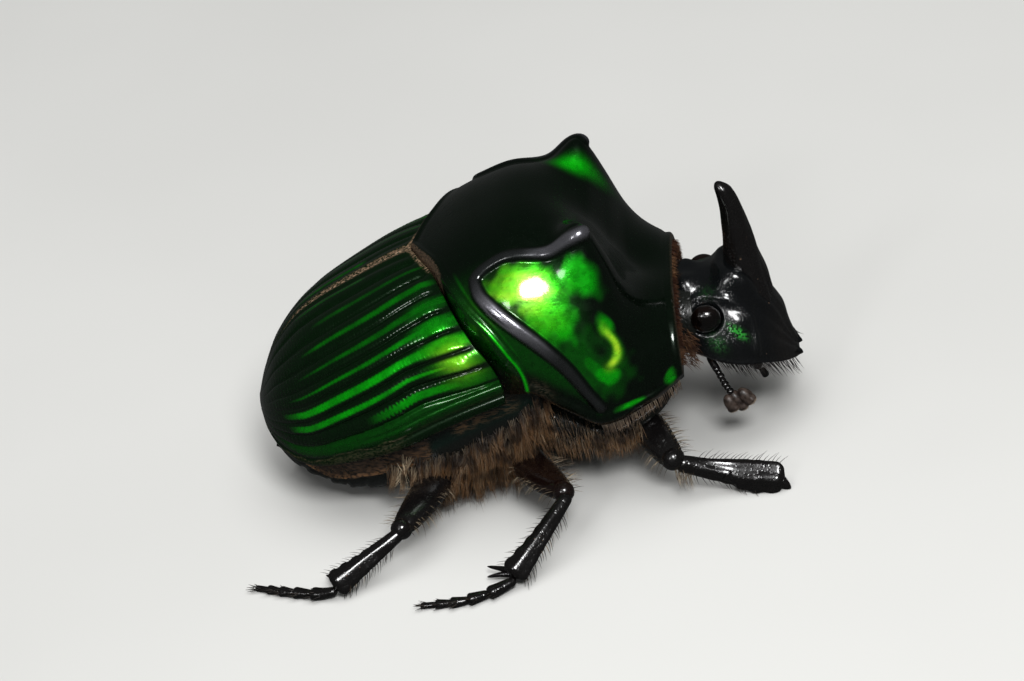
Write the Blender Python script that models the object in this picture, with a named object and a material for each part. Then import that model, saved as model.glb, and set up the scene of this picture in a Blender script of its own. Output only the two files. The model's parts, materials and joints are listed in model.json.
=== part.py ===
"""A horned green dung beetle of the genus Oxysternon, a full-grown male, at life size and standing.

Sizes are in millimetres, in the beetle's own frame: +X towards the head, +Y to its left, +Z up from the
floor. MM and MIDDLE turn a point into metres about the middle of the floor under the beetle when a mesh is
made. Plates and body are lofts of closed rings, legs and feelers are tapered tubes. What grows from a body
is cut clear of a copy of it that is GAP larger, so that the two meet face to face.
"""

import math

import bmesh
import bpy
from mathutils import Vector

MM = 0.001
GAP = 0.3
MIDDLE = Vector((-0.25, 0.0, 0.0))
SIDES = (("right", -1), ("left", 1))

# Stations along the body, (x, value) pairs which smooth curves pass through
BACK_WIDTH = ((-15.0, 0.6), (-14.6, 2.3), (-13.9, 3.8), (-12.6, 5.4), (-10.3, 7.0), (-6.0, 7.9), (0.9, 7.8))
BACK_MARGIN = ((-15.0, 4.6), (-13.9, 4.0), (-12.6, 3.8), (-10.3, 4.4), (-7.5, 5.1), (-3.4, 6.5), (0.9, 7.7))
BACK_CROWN = ((-15.0, 5.2), (-14.5, 6.5), (-13.4, 8.5), (-11.6, 10.3), (-8.4, 11.9), (-5.0, 13.15),
              (0.9, 14.2))
BACK_BULGE = ((-12.0, 1.95), (-5.0, 2.25))
BELLY_LINE = ((-13.95, 1.6), (-13.2, 0.95), (-11.0, 0.55), (-5.0, 0.85), (0.9, 2.1))
SHIELD_WIDTH = ((-5.6, 7.8), (0.9, 8.0), (4.4, 8.2), (7.0, 7.3), (8.3, 6.3), (9.0, 5.6))
SHIELD_MARGIN = ((-5.6, 6.0), (0.5, 8.0), (2.4, 6.7), (4.4, 5.45), (7.0, 5.9), (9.0, 6.3))
SHIELD_CROWN = ((-5.6, 12.9), (-4.0, 13.8), (-1.1, 15.1), (1.4, 15.7), (3.4, 15.4), (4.8, 14.7), (5.8, 13.1),
                (6.6, 11.5), (7.5, 10.5), (9.0, 9.7))
CHEST_WIDTH = ((1.2, 7.0), (4.4, 7.0), (7.0, 6.2), (8.7, 4.2))
CHEST_LINE = ((1.2, 2.6), (5.0, 2.7), (7.4, 3.6), (8.7, 4.8))
HEAD_WIDTH = ((9.1, 2.5), (9.6, 3.1), (10.8, 3.5), (11.8, 3.6), (13.0, 3.2), (14.0, 2.4), (14.7, 1.4),
              (14.95, 0.8))
HEAD_MARGIN = ((9.1, 6.2), (10.4, 5.5), (11.4, 5.1), (13.0, 4.6), (14.0, 4.0), (14.95, 3.3))
HEAD_CROWN = ((9.1, 8.4), (9.8, 8.9), (11.4, 9.1), (12.4, 8.6), (13.6, 7.1), (14.4, 5.4), (14.95, 3.9))
HEAD_FLOOR = ((9.1, 5.0), (10.4, 4.4), (11.8, 4.1), (13.4, 3.8), (14.95, 2.9))

# Hard back: wing cases and the shield of the forebody
BACK_TIP = -15.0
BACK_FRONT = 0.9
CASE_THICK = 0.75
CASE_ROWS = 16
STRIAE = 7
STRIA_DEPTH = 0.17

SHIELD_FRONT = 8.8
SHIELD_POWER = 2.4
SHIELD_ROWS = 20
SHIELD_COLUMNS = 30
SHIELD_EDGE = 0.35
UNDERCUT = 0.97
LOBE = ((0.0, -4.9), (0.18, -4.25), (0.36, -3.5), (0.55, -2.95), (0.72, -2.2), (0.82, -1.3), (0.92, 0.0),
        (1.0, 0.9))
LOBE_STEP = 0.01
BOSS = (4.9, 4.75)
BOSS_RISE = 2.1
BOSS_SPREAD = 1.45
BOSS_TIP = (5.15, 4.85, 15.5)
SADDLE_AT = 5.6
SADDLE_DEPTH = 1.3
SADDLE_SPREAD = 2.2
PANEL = (3.4, 6.9)
PANEL_DEPTH = 0.35
PANEL_SPREAD = 1.9
RIM_LINE = ((4.2, 56, 0.36), (2.7, 57, 0.32), (0.8, 57, 0.28), (-0.6, 55, 0.26), (-1.2, 51, 0.28),
            (-1.1, 45, 0.36), (-0.5, 36, 0.42), (0.35, 27, 0.45), (1.75, 19, 0.45), (3.0, 13.5, 0.42),
            (3.8, 8, 0.36), (4.35, 4, 0.25))
BOSS_HALF = 0.34

# Soft underside
WAIST = -6.2
BELLY_POWER = 3.4
BODY_SIDES = 15
BODY_INSET = CASE_THICK + GAP
RUMP_REACH = 1.3
RUMP_LENGTH = 3.0
CHEST_SIDES = 16
CHEST_POWER = 2.6

# Head
HEAD_POWER = 1.75
HEAD_SIDES = 20
HEAD_STATIONS = (9.1, 9.5, 10.0, 10.7, 11.4, 12.0, 12.6, 13.2, 13.8, 14.3, 14.7, 14.95)
TOOTH_ROOT = (14.5, 0.55, 3.5)
TOOTH_TIP = (15.15, 0.6, 3.15)
CHEEK_RIDGES = (((10.4, 2.35), (11.5, 2.5), (12.6, 2.4)), ((12.5, 1.5), (12.65, 2.4), (12.9, 3.1)))
CHEEK_HALF = 0.28
HORN_POWER = 1.8
HORN_SIDES = 10
HORN_SECTIONS = ((5.9, 11.3, 14.2, 2.1), (8.0, 11.55, 14.0, 1.5), (9.7, 11.75, 13.7, 1.05),
                 (11.5, 11.95, 13.5, 0.78), (13.0, 12.12, 13.3, 0.62), (13.9, 12.15, 13.0, 0.5),
                 (14.4, 12.35, 12.75, 0.3))
EYE_PLACE = (10.6, 2.7, 7.45)
EYE_SIZE = (0.8, 0.6, 0.75)
FEELER_PATH = ((10.2, 2.9, 4.9), (10.6, 3.6, 4.5), (10.85, 3.9, 3.9), (11.1, 4.0, 3.35))
FEELER_SIZES = ((0.3, 0.3), (0.3, 0.3), (0.3, 0.3), (0.28, 0.28))
CLUB_PLACE = (11.5, 4.1, 2.8)
CLUB_OFFSETS = ((-0.12, -0.3, 0.05), (0.0, 0.0, 0.0), (0.14, 0.3, -0.05))
CLUB_SIZES = ((0.66, 0.26, 0.62), (0.74, 0.26, 0.7), (0.66, 0.26, 0.62))
CHIN_PLACE = (11.3, 0.0, 4.1)
CHIN_SIZE = (1.6, 1.5, 0.9)
PALP_PATH = ((11.9, 0.7, 3.7), (12.7, 1.2, 3.0), (13.0, 1.35, 2.4))
PALP_SIZES = ((0.27, 0.27), (0.27, 0.27), (0.16, 0.16))

# Legs: the joints of each as seen on the left, and half width, half thickness and broad way of each length
LEGS = {
    ("fore", "right"): (((5.4, 3.6, 3.4), (6.5, 6.0, 3.1), (7.7, 8.25, 2.4)),
                        ((7.9, 8.2, 2.15), (10.15, 8.15, 1.3), (11.9, 8.45, 0.85), (13.3, 8.7, 0.65))),
    ("fore", "left"): (((5.4, 3.6, 3.4), (6.4, 6.0, 3.1), (7.3, 8.25, 2.4)),
                       ((7.45, 8.3, 2.15), (9.5, 8.9, 1.3), (11.0, 9.5, 0.85), (12.3, 10.0, 0.65))),
    ("mid", "right"): (((-1.2, 4.4, 2.3), (0.2, 7.7, 2.6), (1.8, 10.7, 3.0)),
                       ((1.9, 10.95, 2.9), (0.26, 12.9, 1.8), (-1.35, 14.4, 0.75)),
                       ((-1.27, 14.55, 0.5), (-2.9, 15.15, 0.25), (-4.3, 15.45, 0.22), (-6.45, 15.25, 0.15))),
    ("mid", "left"): (((-1.2, 4.4, 2.3), (0.1, 7.7, 2.6), (1.5, 10.7, 3.0)),
                      ((1.6, 10.95, 2.9), (0.0, 12.9, 1.8), (-1.6, 14.4, 0.75)),
                      ((-1.52, 14.55, 0.5), (-3.1, 15.15, 0.25), (-4.5, 15.45, 0.22), (-6.5, 15.2, 0.15))),
    ("hind", "right"): (((-4.6, 4.4, 2.0), (-5.9, 8.0, 2.3), (-7.3, 10.9, 2.2)),
                        ((-7.4, 11.05, 2.1), (-9.2, 12.1, 1.4), (-11.05, 13.1, 0.75)),
                        ((-11.05, 13.25, 0.5), (-12.1, 12.95, 0.25), (-13.4, 12.5, 0.22),
                         (-15.6, 11.45, 0.15))),
    ("hind", "left"): (((-4.6, 4.4, 2.0), (-5.8, 7.7, 2.3), (-7.0, 10.3, 2.2)),
                       ((-7.1, 10.45, 2.1), (-8.8, 11.3, 1.4), (-10.4, 12.0, 0.75)),
                       ((-10.4, 12.15, 0.5), (-11.4, 11.95, 0.25), (-12.5, 11.6, 0.22), (-14.2, 10.6, 0.15))),
}
LIMBS = {
    "fore": ((((0.8, 0.7), (0.95, 0.75), (0.7, 0.6)), (1.0, 0.0, 0.3)),
             (((0.55, 0.4), (0.7, 0.4), (0.85, 0.42), (0.8, 0.36)), (0.0, 0.53, 0.85))),
    "mid": ((((0.95, 0.65), (1.05, 0.65), (0.6, 0.5)), (1.0, 0.0, 0.0)),
            (((0.42, 0.4), (0.55, 0.45), (0.78, 0.5)), (1.0, 1.0, 0.0)),
            (((0.28, 0.28), (0.4, 0.3), (0.34, 0.28), (0.2, 0.2)), (0.0, 1.0, 0.0))),
    "hind": ((((0.9, 0.65), (1.0, 0.65), (0.6, 0.5)), (1.0, 0.0, 0.0)),
             (((0.42, 0.4), (0.6, 0.45), (0.78, 0.5)), (1.0, 1.0, 0.0)),
             (((0.28, 0.28), (0.4, 0.3), (0.34, 0.28), (0.2, 0.2)), (0.0, 1.0, 0.0))),
}
FORE_TEETH = (0.45, 0.62, 0.79, 0.95)
FORE_TOOTH_DROP = 0.45
FORE_TOOTH_REACH = 0.5
SPUR_LEVEL = 0.3
SPUR_STEP = 0.11
SPUR_LENGTH = 1.5
SPUR_HALF = 0.22
SPUR_ASIDE = 0.4
SPUR_TURNS = {"mid": (36, 68), "hind": (36,)}

# Hair of the flanks: rows by how far below the margin they start and their length, and the steps down a
# lock by share of its length, how far it stands off the flank, half width and half thickness
LOCKS = 10
LOCK_FIRST = -4.75
LOCK_LAST = 0.45
LOCK_ROWS = ((0.5, 2.6), (1.4, 2.7), (2.3, 2.6), (3.2, 2.4))
LOCK_STEPS = ((0.0, -0.5, 0.42, 0.24), (0.3, 0.3, 0.55, 0.3), (0.65, 0.75, 0.42, 0.24),
              (1.0, 0.95, 0.1, 0.09))
LOCK_LEAN = 0.23
LOCK_WAVE = 0.2
LOCK_SPREAD = 0.26
LOCK_FLOOR = 0.75
LOCK_LEAST = 1.0
LOCK_SHORTER = 0.2
THIGH_ROOM = (1.3, 0.95)

FLOOR = 0.0


def clear_scene():
    """Empty the file of objects."""
    for old in list(bpy.data.objects):
        bpy.data.objects.remove(old)


def follow(stations, x):
    """Value at x of the smooth curve through the stations, held level past both ends."""
    if x <= stations[0][0]:
        return stations[0][1]
    slopes = [(b[1] - a[1]) / (b[0] - a[0]) for a, b in zip(stations, stations[1:])]

    def slope_at(i):
        """Slope of the curve at station i, level where the curve turns."""
        if i == 0 or i == len(slopes):
            return slopes[min(i, len(slopes) - 1)]
        before, after = slopes[i - 1], slopes[i]
        return 0.0 if before * after <= 0 else 2 * before * after / (before + after)

    for i, ((x0, y0), (x1, y1)) in enumerate(zip(stations, stations[1:])):
        if x <= x1:
            span = x1 - x0
            t = (x - x0) / span
            rise = (1 + 2 * t) * (1 - t) ** 2 * y0 + t * t * (3 - 2 * t) * y1
            return rise + span * (t * (1 - t) ** 2 * slope_at(i) - t * t * (1 - t) * slope_at(i + 1))
    return stations[-1][1]


def arch(angle, power):
    """Point (across, up) at an angle on a superellipse of unit size."""
    across, up = math.cos(angle), math.sin(angle)
    bend = 2.0 / power
    return math.copysign(abs(across) ** bend, across), math.copysign(abs(up) ** bend, up)


def steps(first, last, count):
    """Count values evenly spread from first to last."""
    return [first + (last - first) * i / (count - 1) for i in range(count)]


def eased(first, last, count):
    """Count values from first to last, closer together near the first."""
    return [first + (last - first) * (1 - math.cos(math.pi / 2 * i / (count - 1))) for i in range(count)]


def finish_mesh(name, shape):
    """Object for a bmesh in beetle millimetres, in triangles that all turn outwards."""
    bmesh.ops.triangulate(shape, faces=shape.faces)
    bmesh.ops.recalc_face_normals(shape, faces=shape.faces)
    for vert in shape.verts:
        vert.co = (vert.co - MIDDLE) * MM
    mesh = bpy.data.meshes.new(name)
    shape.to_mesh(mesh)
    shape.free()
    mesh.shade_smooth()
    piece = bpy.data.objects.new(name, mesh)
    bpy.context.scene.collection.objects.link(piece)
    return piece


def sheet(shape, grid):
    """Lay faces over a grid of points and return its verts, row by row."""
    rows = [[shape.verts.new(point) for point in row] for row in grid]
    for low, high in zip(rows, rows[1:]):
        for i in range(len(low) - 1):
            shape.faces.new((low[i], low[i + 1], high[i + 1], high[i]))
    return rows


def loft(name, rings):
    """Closed body through rings of points, each end closed by a fan to its middle."""
    shape = bmesh.new()
    loops = [[shape.verts.new(point) for point in ring] for ring in rings]
    count = len(loops[0])
    for low, high in zip(loops, loops[1:]):
        for i in range(count):
            j = (i + 1) % count
            shape.faces.new((low[i], low[j], high[j], high[i]))
    for loop in (loops[0], loops[-1]):
        hub = shape.verts.new(sum((vert.co for vert in loop), Vector()) / count)
        for i in range(count):
            shape.faces.new((loop[i], loop[(i + 1) % count], hub))
    return finish_mesh(name, shape)


def largest_only(piece):
    """Keep the largest closed surface of an object's mesh."""
    shape = bmesh.new()
    shape.from_mesh(piece.data)
    left = set(shape.faces)
    islands = []
    while left:
        island, front = set(), [left.pop()]
        while front:
            face = front.pop()
            island.add(face)
            for edge in face.edges:
                for other in edge.link_faces:
                    if other in left:
                        left.remove(other)
                        front.append(other)
        islands.append(island)
    if len(islands) > 1:
        islands.sort(key=lambda faces: sum(face.calc_area() for face in faces))
        for island in islands[:-1]:
            bmesh.ops.delete(shape, geom=list(island), context="FACES")
    shape.to_mesh(piece.data)
    shape.free()


def combine(piece, others, operation):
    """Join other objects to a piece, or cut it clear of them, and use the others up."""
    group = bpy.data.collections.new("others")
    for other in others:
        group.objects.link(other)
    modifier = piece.modifiers.new("Combine", "BOOLEAN")
    modifier.operand_type = "COLLECTION"
    modifier.collection = group
    modifier.operation = operation
    modifier.solver = "EXACT"
    graph = bpy.context.evaluated_depsgraph_get()
    made = bpy.data.meshes.new_from_object(piece.evaluated_get(graph))
    piece.modifiers.clear()
    piece.data = made
    for other in others:
        bpy.data.objects.remove(other)
    bpy.data.collections.remove(group)
    largest_only(piece)
    piece.data.shade_smooth()
    return piece


def join(piece, *others):
    """Fuse other pieces into one."""
    return combine(piece, others, "UNION")


def carve(piece, *others):
    """Cut a piece clear of others."""
    return combine(piece, others, "DIFFERENCE")


def frame_along(tangent, broad):
    """Two unit directions square to a tangent, the first nearest to broad."""
    wide = (broad - tangent * broad.dot(tangent)).normalized()
    return wide, tangent.cross(wide).normalized()


def tube(name, path, sizes, broad=(0, 0, 1), sides=8, grow=0.0):
    """Tapered tube along points, (half width, half thickness) at each, resting no lower than the floor."""
    points = [Vector(point) for point in path]
    broad = Vector(broad)
    rings = []
    for i, point in enumerate(points):
        ahead = points[min(i + 1, len(points) - 1)]
        behind = points[max(i - 1, 0)]
        tangent = (ahead - behind).normalized()
        if grow and i in (0, len(points) - 1):
            point = point + tangent * (grow if i else -grow)
        wide, thick = frame_along(tangent, broad)
        half_wide, half_thick = (size + grow for size in sizes[i])
        ring = []
        for k in range(sides):
            turn = 2 * math.pi * (k + 0.5) / sides
            spot = point + wide * half_wide * math.cos(turn) + thick * half_thick * math.sin(turn)
            if not grow:
                spot.z = max(spot.z, FLOOR)
            ring.append(spot)
        rings.append(ring)
    return loft(name, rings)


def ball(name, centre, size, grow=0.0, segments=12, bands=8):
    """Ellipsoid with half sizes along the beetle's axes."""
    shape = bmesh.new()
    bmesh.ops.create_uvsphere(shape, u_segments=segments, v_segments=bands, radius=1.0)
    for vert in shape.verts:
        vert.co = Vector(centre) + Vector([axis * (half + grow) for axis, half in zip(vert.co, size)])
    return finish_mesh(name, shape)


def spike(name, root, tip, half_wide, half_thick=None, broad=(0, 0, 1), bend=(0, 0, 0), sides=4):
    """Short tapered spike, straight or bent, used for teeth, spurs and locks of hair."""
    root, tip, bend = Vector(root), Vector(tip), Vector(bend)
    half_thick = half_wide if half_thick is None else half_thick
    path = [root, (root + tip) / 2 + bend, tip]
    sizes = [(half_wide, half_thick), (half_wide * 0.8, half_thick * 0.8), (0.07, 0.07)]
    return tube(name, path, sizes, broad, sides)


def back_point(x, angle, inset=0.0):
    """Point on the wing cases at an angle up from the margin, or inset to lie under them."""
    across, up = arch(angle, follow(BACK_BULGE, x))
    width = follow(BACK_WIDTH, x)
    margin = follow(BACK_MARGIN, x)
    rise = follow(BACK_CROWN, x) - margin
    return Vector((x, across * max(0.05, width - inset), margin + up * max(0.05, rise - inset)))


def body_ring(x, grow):
    """Ring of the soft body at x, under the wing cases above and round the belly below."""
    reach = (BACK_FRONT - x) / (BACK_FRONT - BACK_TIP - BODY_INSET)
    source = BACK_FRONT - reach * (BACK_FRONT - BACK_TIP)
    ring = []
    for i in range(BODY_SIDES):
        point = back_point(source, math.pi * i / (BODY_SIDES - 1), BODY_INSET - grow)
        ring.append(Vector((x, point.y, point.z)))
    width = abs(ring[0].y)
    margin = ring[0].z
    drop = margin - follow(BELLY_LINE, x) + grow
    rump = RUMP_REACH * max(0.0, 1 - (x - BACK_TIP) / RUMP_LENGTH)
    for i in range(1, BODY_SIDES - 1):
        across, down = arch(math.pi - math.pi * i / (BODY_SIDES - 1), BELLY_POWER)
        ring.append(Vector((x - rump * down, across * width, margin - down * drop)))
    return ring


def body_piece(name, first, last, count, grow=0.0):
    """Length of the soft body between two stations."""
    return loft(name, [body_ring(x, grow) for x in eased(first - grow, last + grow, count)])


def walled(name, top, floor):
    """Closed body between two grids of points with the same rows and columns."""
    shape = bmesh.new()
    upper = sheet(shape, top)
    lower = sheet(shape, floor)
    around = [border(rows) for rows in (upper, lower)]
    for i in range(len(around[0])):
        j = (i + 1) % len(around[0])
        shape.faces.new((around[0][i], around[0][j], around[1][j], around[1][i]))
    return finish_mesh(name, shape)


def border(rows):
    """Verts round the edge of a grid, in order."""
    return rows[0] + [row[-1] for row in rows[1:]] + rows[-1][-2::-1] + [row[0] for row in rows[-2:0:-1]]


def stria_depth(share):
    """Depth of the grooves at a share of the way from margin to suture."""
    place = share * (STRIAE + 1)
    off = abs(place - round(place))
    if round(place) in (0, STRIAE + 1):
        return 0.0
    return STRIA_DEPTH * max(0.0, 1.0 - off / 0.5) ** 1.5


def shield_back(share):
    """Hind edge of the shield at a share of its half width."""
    return follow(LOBE, min(1.0, abs(share)))


def case_front(angle, depth):
    """Front end of a wing case at an angle up from its margin and a depth, clear of the shield."""
    half = follow(SHIELD_WIDTH, BACK_FRONT)
    across = arch(angle, follow(BACK_BULGE, BACK_FRONT))[0]
    share = across * (follow(BACK_WIDTH, BACK_FRONT) - depth) / half
    slope = (shield_back(share + LOBE_STEP) - shield_back(share)) / (LOBE_STEP * half)
    return shield_back(share) - GAP * math.hypot(1.0, slope)


def wing_case(name, side):
    """One grooved wing case: a curved shell from the suture to the margin."""
    columns = 2 * (STRIAE + 1) + 1
    outer, inner = [], []
    for row in range(CASE_ROWS):
        lines = ([], [])
        along = math.sin(math.pi / 2 * row / (CASE_ROWS - 1))
        for column in range(columns):
            share = column / (columns - 1)
            angle = math.pi / 2 * share
            groove = stria_depth(share) * min(1.0, 4 * (1 - along))
            for line, depth, inset in zip(lines, (groove, CASE_THICK), (0.0, CASE_THICK)):
                front = case_front(angle, inset)
                point = back_point(front + (BACK_TIP + inset - front) * along, angle, depth)
                point.y = side * max(point.y, GAP / 2)
                line.append(point)
        outer.append(lines[0])
        inner.append(lines[1])
    return walled(name, outer, inner)


def bump(along, across, spread):
    """Height of a smooth round hill of unit height at an offset from its top."""
    return math.exp(-(along ** 2 + across ** 2) / spread ** 2)


def shield_relief(x, y):
    """Height added to the plain dome of the shield: bosses, the saddle between them, hollow side panels."""
    off_side = abs(y)
    boss = BOSS_RISE * bump(x - BOSS[0], off_side - BOSS[1], BOSS_SPREAD)
    saddle = SADDLE_DEPTH * bump(x - SADDLE_AT, y, SADDLE_SPREAD)
    panel = PANEL_DEPTH * bump(x - PANEL[0], off_side - PANEL[1], PANEL_SPREAD)
    return boss - saddle - panel


def shield_point(x, angle):
    """Point on the top of the shield at an angle up from its right margin."""
    across, up = arch(angle, SHIELD_POWER)
    y = across * follow(SHIELD_WIDTH, x)
    margin = follow(SHIELD_MARGIN, x)
    z = margin + up * (follow(SHIELD_CROWN, x) - margin) + shield_relief(x, y) * min(1.0, 2 * up)
    return Vector((x, y, z))


def shield_block(name):
    """Plain block of the shield, with its lobe running back over the base of the wing cases."""
    top, floor = [], []
    for row in range(SHIELD_ROWS):
        line, under = [], []
        for column in range(SHIELD_COLUMNS):
            angle = math.pi * column / (SHIELD_COLUMNS - 1)
            back = shield_back(arch(angle, SHIELD_POWER)[0])
            point = shield_point(back + (SHIELD_FRONT - back) * row / (SHIELD_ROWS - 1), angle)
            line.append(point)
            under.append(Vector((point.x, point.y * UNDERCUT, follow(SHIELD_MARGIN, point.x) - SHIELD_EDGE)))
        top.append(line)
        floor.append(under)
    return walled(name, top, floor)


def rim(name, side):
    """Raised rim round a side panel of the shield, from the tip of its boss back and down to the corner."""
    path = [mirrored(side, BOSS_TIP)]
    sizes = [(BOSS_HALF, BOSS_HALF)]
    for x, degrees, half in RIM_LINE:
        path.append(mirrored(side, shield_point(x, math.radians(degrees))))
        sizes.append((half, half))
    return tube(name, path, sizes, sides=6)


def shield(name):
    """Shield of the forebody, cut clear of the body that its lobe lies on."""
    rims = [rim(f"rim_{word}", side) for word, side in SIDES]
    return carve(join(shield_block(name), *rims), body_piece("clear", WAIST, BACK_FRONT, 7, GAP))


def chest_ring(x, grow):
    """Ring of the chest under the shield."""
    width = follow(CHEST_WIDTH, x) + grow
    top = follow(SHIELD_MARGIN, x) - SHIELD_EDGE - GAP + grow
    floor = follow(CHEST_LINE, x) - grow
    ring = []
    for i in range(CHEST_SIDES):
        across, up = arch(2 * math.pi * i / CHEST_SIDES, CHEST_POWER)
        ring.append(Vector((x, across * width, (top + floor) / 2 + up * (top - floor) / 2)))
    return ring


def chest(name, grow=0.0):
    """Chest under the shield, from the flanks to the neck."""
    stations = steps(BACK_FRONT + GAP - grow, SHIELD_FRONT - GAP + grow, 8)
    return loft(name, [chest_ring(x, grow) for x in stations])


def head_ring(x, grow):
    """Ring of the head: roofed above its margin, shallow below."""
    width = follow(HEAD_WIDTH, x) + grow
    margin = follow(HEAD_MARGIN, x)
    crown = follow(HEAD_CROWN, x) + grow
    floor = follow(HEAD_FLOOR, x) - grow
    ring = []
    for i in range(HEAD_SIDES):
        across, up = arch(2 * math.pi * i / HEAD_SIDES, HEAD_POWER)
        reach = crown - margin if up > 0 else margin - floor
        ring.append(Vector((x, across * width, margin + up * reach)))
    return ring


def head_body(name, grow=0.0):
    """Head with its broad front plate."""
    first, *middle, last = HEAD_STATIONS
    return loft(name, [head_ring(x, grow) for x in (first - grow, *middle, last + grow)])


def head_height(x, y):
    """Height of the top of the head over a spot."""
    margin = follow(HEAD_MARGIN, x)
    share = min(1.0, abs(y) / follow(HEAD_WIDTH, x))
    return margin + (1 - share ** HEAD_POWER) ** (1 / HEAD_POWER) * (follow(HEAD_CROWN, x) - margin)


def head_piece(name):
    """Head with its two front teeth and cheek ridges, and a socket for each eye."""
    extras = []
    for word, side in SIDES:
        extras.append(spike(f"tooth_{word}", mirrored(side, TOOTH_ROOT), mirrored(side, TOOTH_TIP), 0.4, 0.3))
        for number, line in enumerate(CHEEK_RIDGES):
            path = [Vector((x, side * y, head_height(x, y) + 0.02)) for x, y in line]
            extras.append(tube(f"ridge_{number}_{word}", path, [(CHEEK_HALF,) * 2] * len(path), sides=6))
    sockets = [ball(f"socket_{word}", mirrored(side, EYE_PLACE), EYE_SIZE, GAP) for word, side in SIDES]
    return carve(join(head_body(name), *extras), *sockets)


def horn(name):
    """Horn of the head, a keeled blade that leans back at its tip."""
    rings = []
    for z, back, front, half in HORN_SECTIONS:
        middle, reach = (back + front) / 2, (front - back) / 2
        ring = []
        for i in range(HORN_SIDES):
            across, along = arch(2 * math.pi * i / HORN_SIDES, HORN_POWER)
            ring.append(Vector((middle + along * reach, across * half, z)))
        rings.append(ring)
    return carve(loft(name, rings), head_body("clear", GAP))


def antenna(name, side):
    """Feeler: a bent stalk of beads and a club of three cupped leaves."""
    path = [mirrored(side, point) for point in FEELER_PATH]
    stalk = tube(name, path, FEELER_SIZES, broad=(0, 1, 0))
    leaves = []
    for number, (offset, size) in enumerate(zip(CLUB_OFFSETS, CLUB_SIZES)):
        centre = mirrored(side, CLUB_PLACE) + mirrored(side, offset)
        leaves.append(ball(f"leaf_{number}_{name}", centre, size, segments=10, bands=6))
    return carve(join(stalk, *leaves), head_body("clear", GAP))


def mouthparts(name):
    """Chin under the head, with a pair of palps."""
    palps = [tube(f"palp_{word}", [mirrored(side, point) for point in PALP_PATH], PALP_SIZES, sides=6)
             for word, side in SIDES]
    return carve(join(ball(name, CHIN_PLACE, CHIN_SIZE), *palps), head_body("clear", GAP))


def limb_cutter(pair, word, side, number):
    """Grown copy of one length of a leg, for what meets it to be cut clear of."""
    path = [mirrored(side, point) for point in LEGS[pair, word][number]]
    sizes, broad = LIMBS[pair][number]
    return tube(f"clear_{pair}", path, sizes, mirrored(side, broad), grow=GAP)


def flank_side(x, z):
    """Half width of the soft body's flank at a height, kept near its full width low down."""
    ring = body_ring(x, 0.0)
    width, margin = abs(ring[0].y), ring[0].z
    down = min(0.85, max(0.0, (margin - z) / (margin - follow(BELLY_LINE, x))))
    return width * (1 - down ** BELLY_POWER) ** (1 / BELLY_POWER)


def near_thigh(word, point, half):
    """Whether a lock of a half width at a point comes too near one of the two hinder thighs of its side."""
    for pair in ("mid", "hind"):
        joints = [Vector(joint) for joint in LEGS[pair, word][0]]
        for start, end in zip(joints, joints[1:]):
            reach = min(1.0, max(0.0, (point.y - start.y) / (end.y - start.y)))
            off = point - start.lerp(end, reach)
            if math.hypot(off.x / (THIGH_ROOM[0] + half), off.z / (THIGH_ROOM[1] + half / 2)) < 1:
                return True
    return False


def lock_path(word, x, start, length, vary):
    """Points down one lock as seen on the left, shortened until it clears the thighs, or None."""
    while length > LOCK_LEAST:
        path = []
        for share, off, *_ in LOCK_STEPS:
            z = max(LOCK_FLOOR, body_ring(x, 0.0)[0].z - start - length * share)
            lean = -LOCK_LEAN * length * share + LOCK_WAVE * vary * math.sin(math.pi * share)
            path.append(Vector((x + lean, flank_side(x, z) + off + LOCK_SPREAD * vary * share, z)))
        if not any(near_thigh(word, point, step[2]) for point, step in zip(path[1:], LOCK_STEPS[1:])):
            return path
        length -= LOCK_SHORTER
    return None


def flank_locks():
    """Flat tapered locks over the flanks, in rows that overlap, each bent along the lie of the coat."""
    sizes = [(half, thick) for _, _, half, thick in LOCK_STEPS]
    locks = []
    for word, side in SIDES:
        for row, (start, length) in enumerate(LOCK_ROWS):
            for number in range(LOCKS):
                x = LOCK_FIRST + (LOCK_LAST - LOCK_FIRST) * (number + 0.5 * (row % 2)) / (LOCKS - 0.5)
                vary = math.sin(number * 2.4 + row * 1.7)
                path = lock_path(word, x, start, length * (1 + 0.1 * vary), vary)
                if path:
                    path = [mirrored(side, point) for point in path]
                    locks.append(tube(f"lock_{row}_{number}_{word}", path, sizes, (1, 0, 0), sides=4))
    return locks


def thorax(name):
    """Middle of the soft body, with the coat of its flanks."""
    return join(body_piece(name, WAIST, BACK_FRONT, 7), *flank_locks())


def body_cutters():
    """Grown copies of the body for a leg to be cut clear of."""
    return [body_piece("clear_abdomen", BACK_TIP + BODY_INSET, WAIST - GAP, 9, GAP),
            body_piece("clear_thorax", WAIST, BACK_FRONT, 7, GAP), chest("clear_chest", GAP)]


def leg(pair, word, side):
    """One leg of two or three pieces, each cut clear of the one before it."""
    joints = LEGS[pair, word]
    names = [f"{pair}_{section}_{word}" for section in ("femur", "tibia", "tarsus")]
    made = []
    for number, (name, path) in enumerate(zip(names, joints)):
        path = [mirrored(side, point) for point in path]
        sizes, broad = LIMBS[pair][number]
        broad = mirrored(side, broad)
        piece = tube(name, path, sizes, broad)
        if number == 0:
            carve(piece, *body_cutters())
        else:
            if number == 1:
                points = fore_teeth(name, path, side) if pair == "fore" else spurs(pair, word, name, side)
                join(piece, *points)
            carve(piece, limb_cutter(pair, word, side, number - 1))
        made.append(piece)
    return made


def fore_teeth(name, path, side):
    """Teeth along the lower edge of a fore tibia."""
    teeth = []
    for number, share in enumerate(FORE_TEETH):
        root = path[0].lerp(path[-1], share)
        root.z -= FORE_TOOTH_DROP
        tip = root + Vector((FORE_TOOTH_REACH, side * 0.25, -FORE_TOOTH_REACH * 0.6))
        teeth.append(spike(f"tooth_{number}_{name}", root, tip, 0.38, 0.3))
    return teeth


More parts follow.
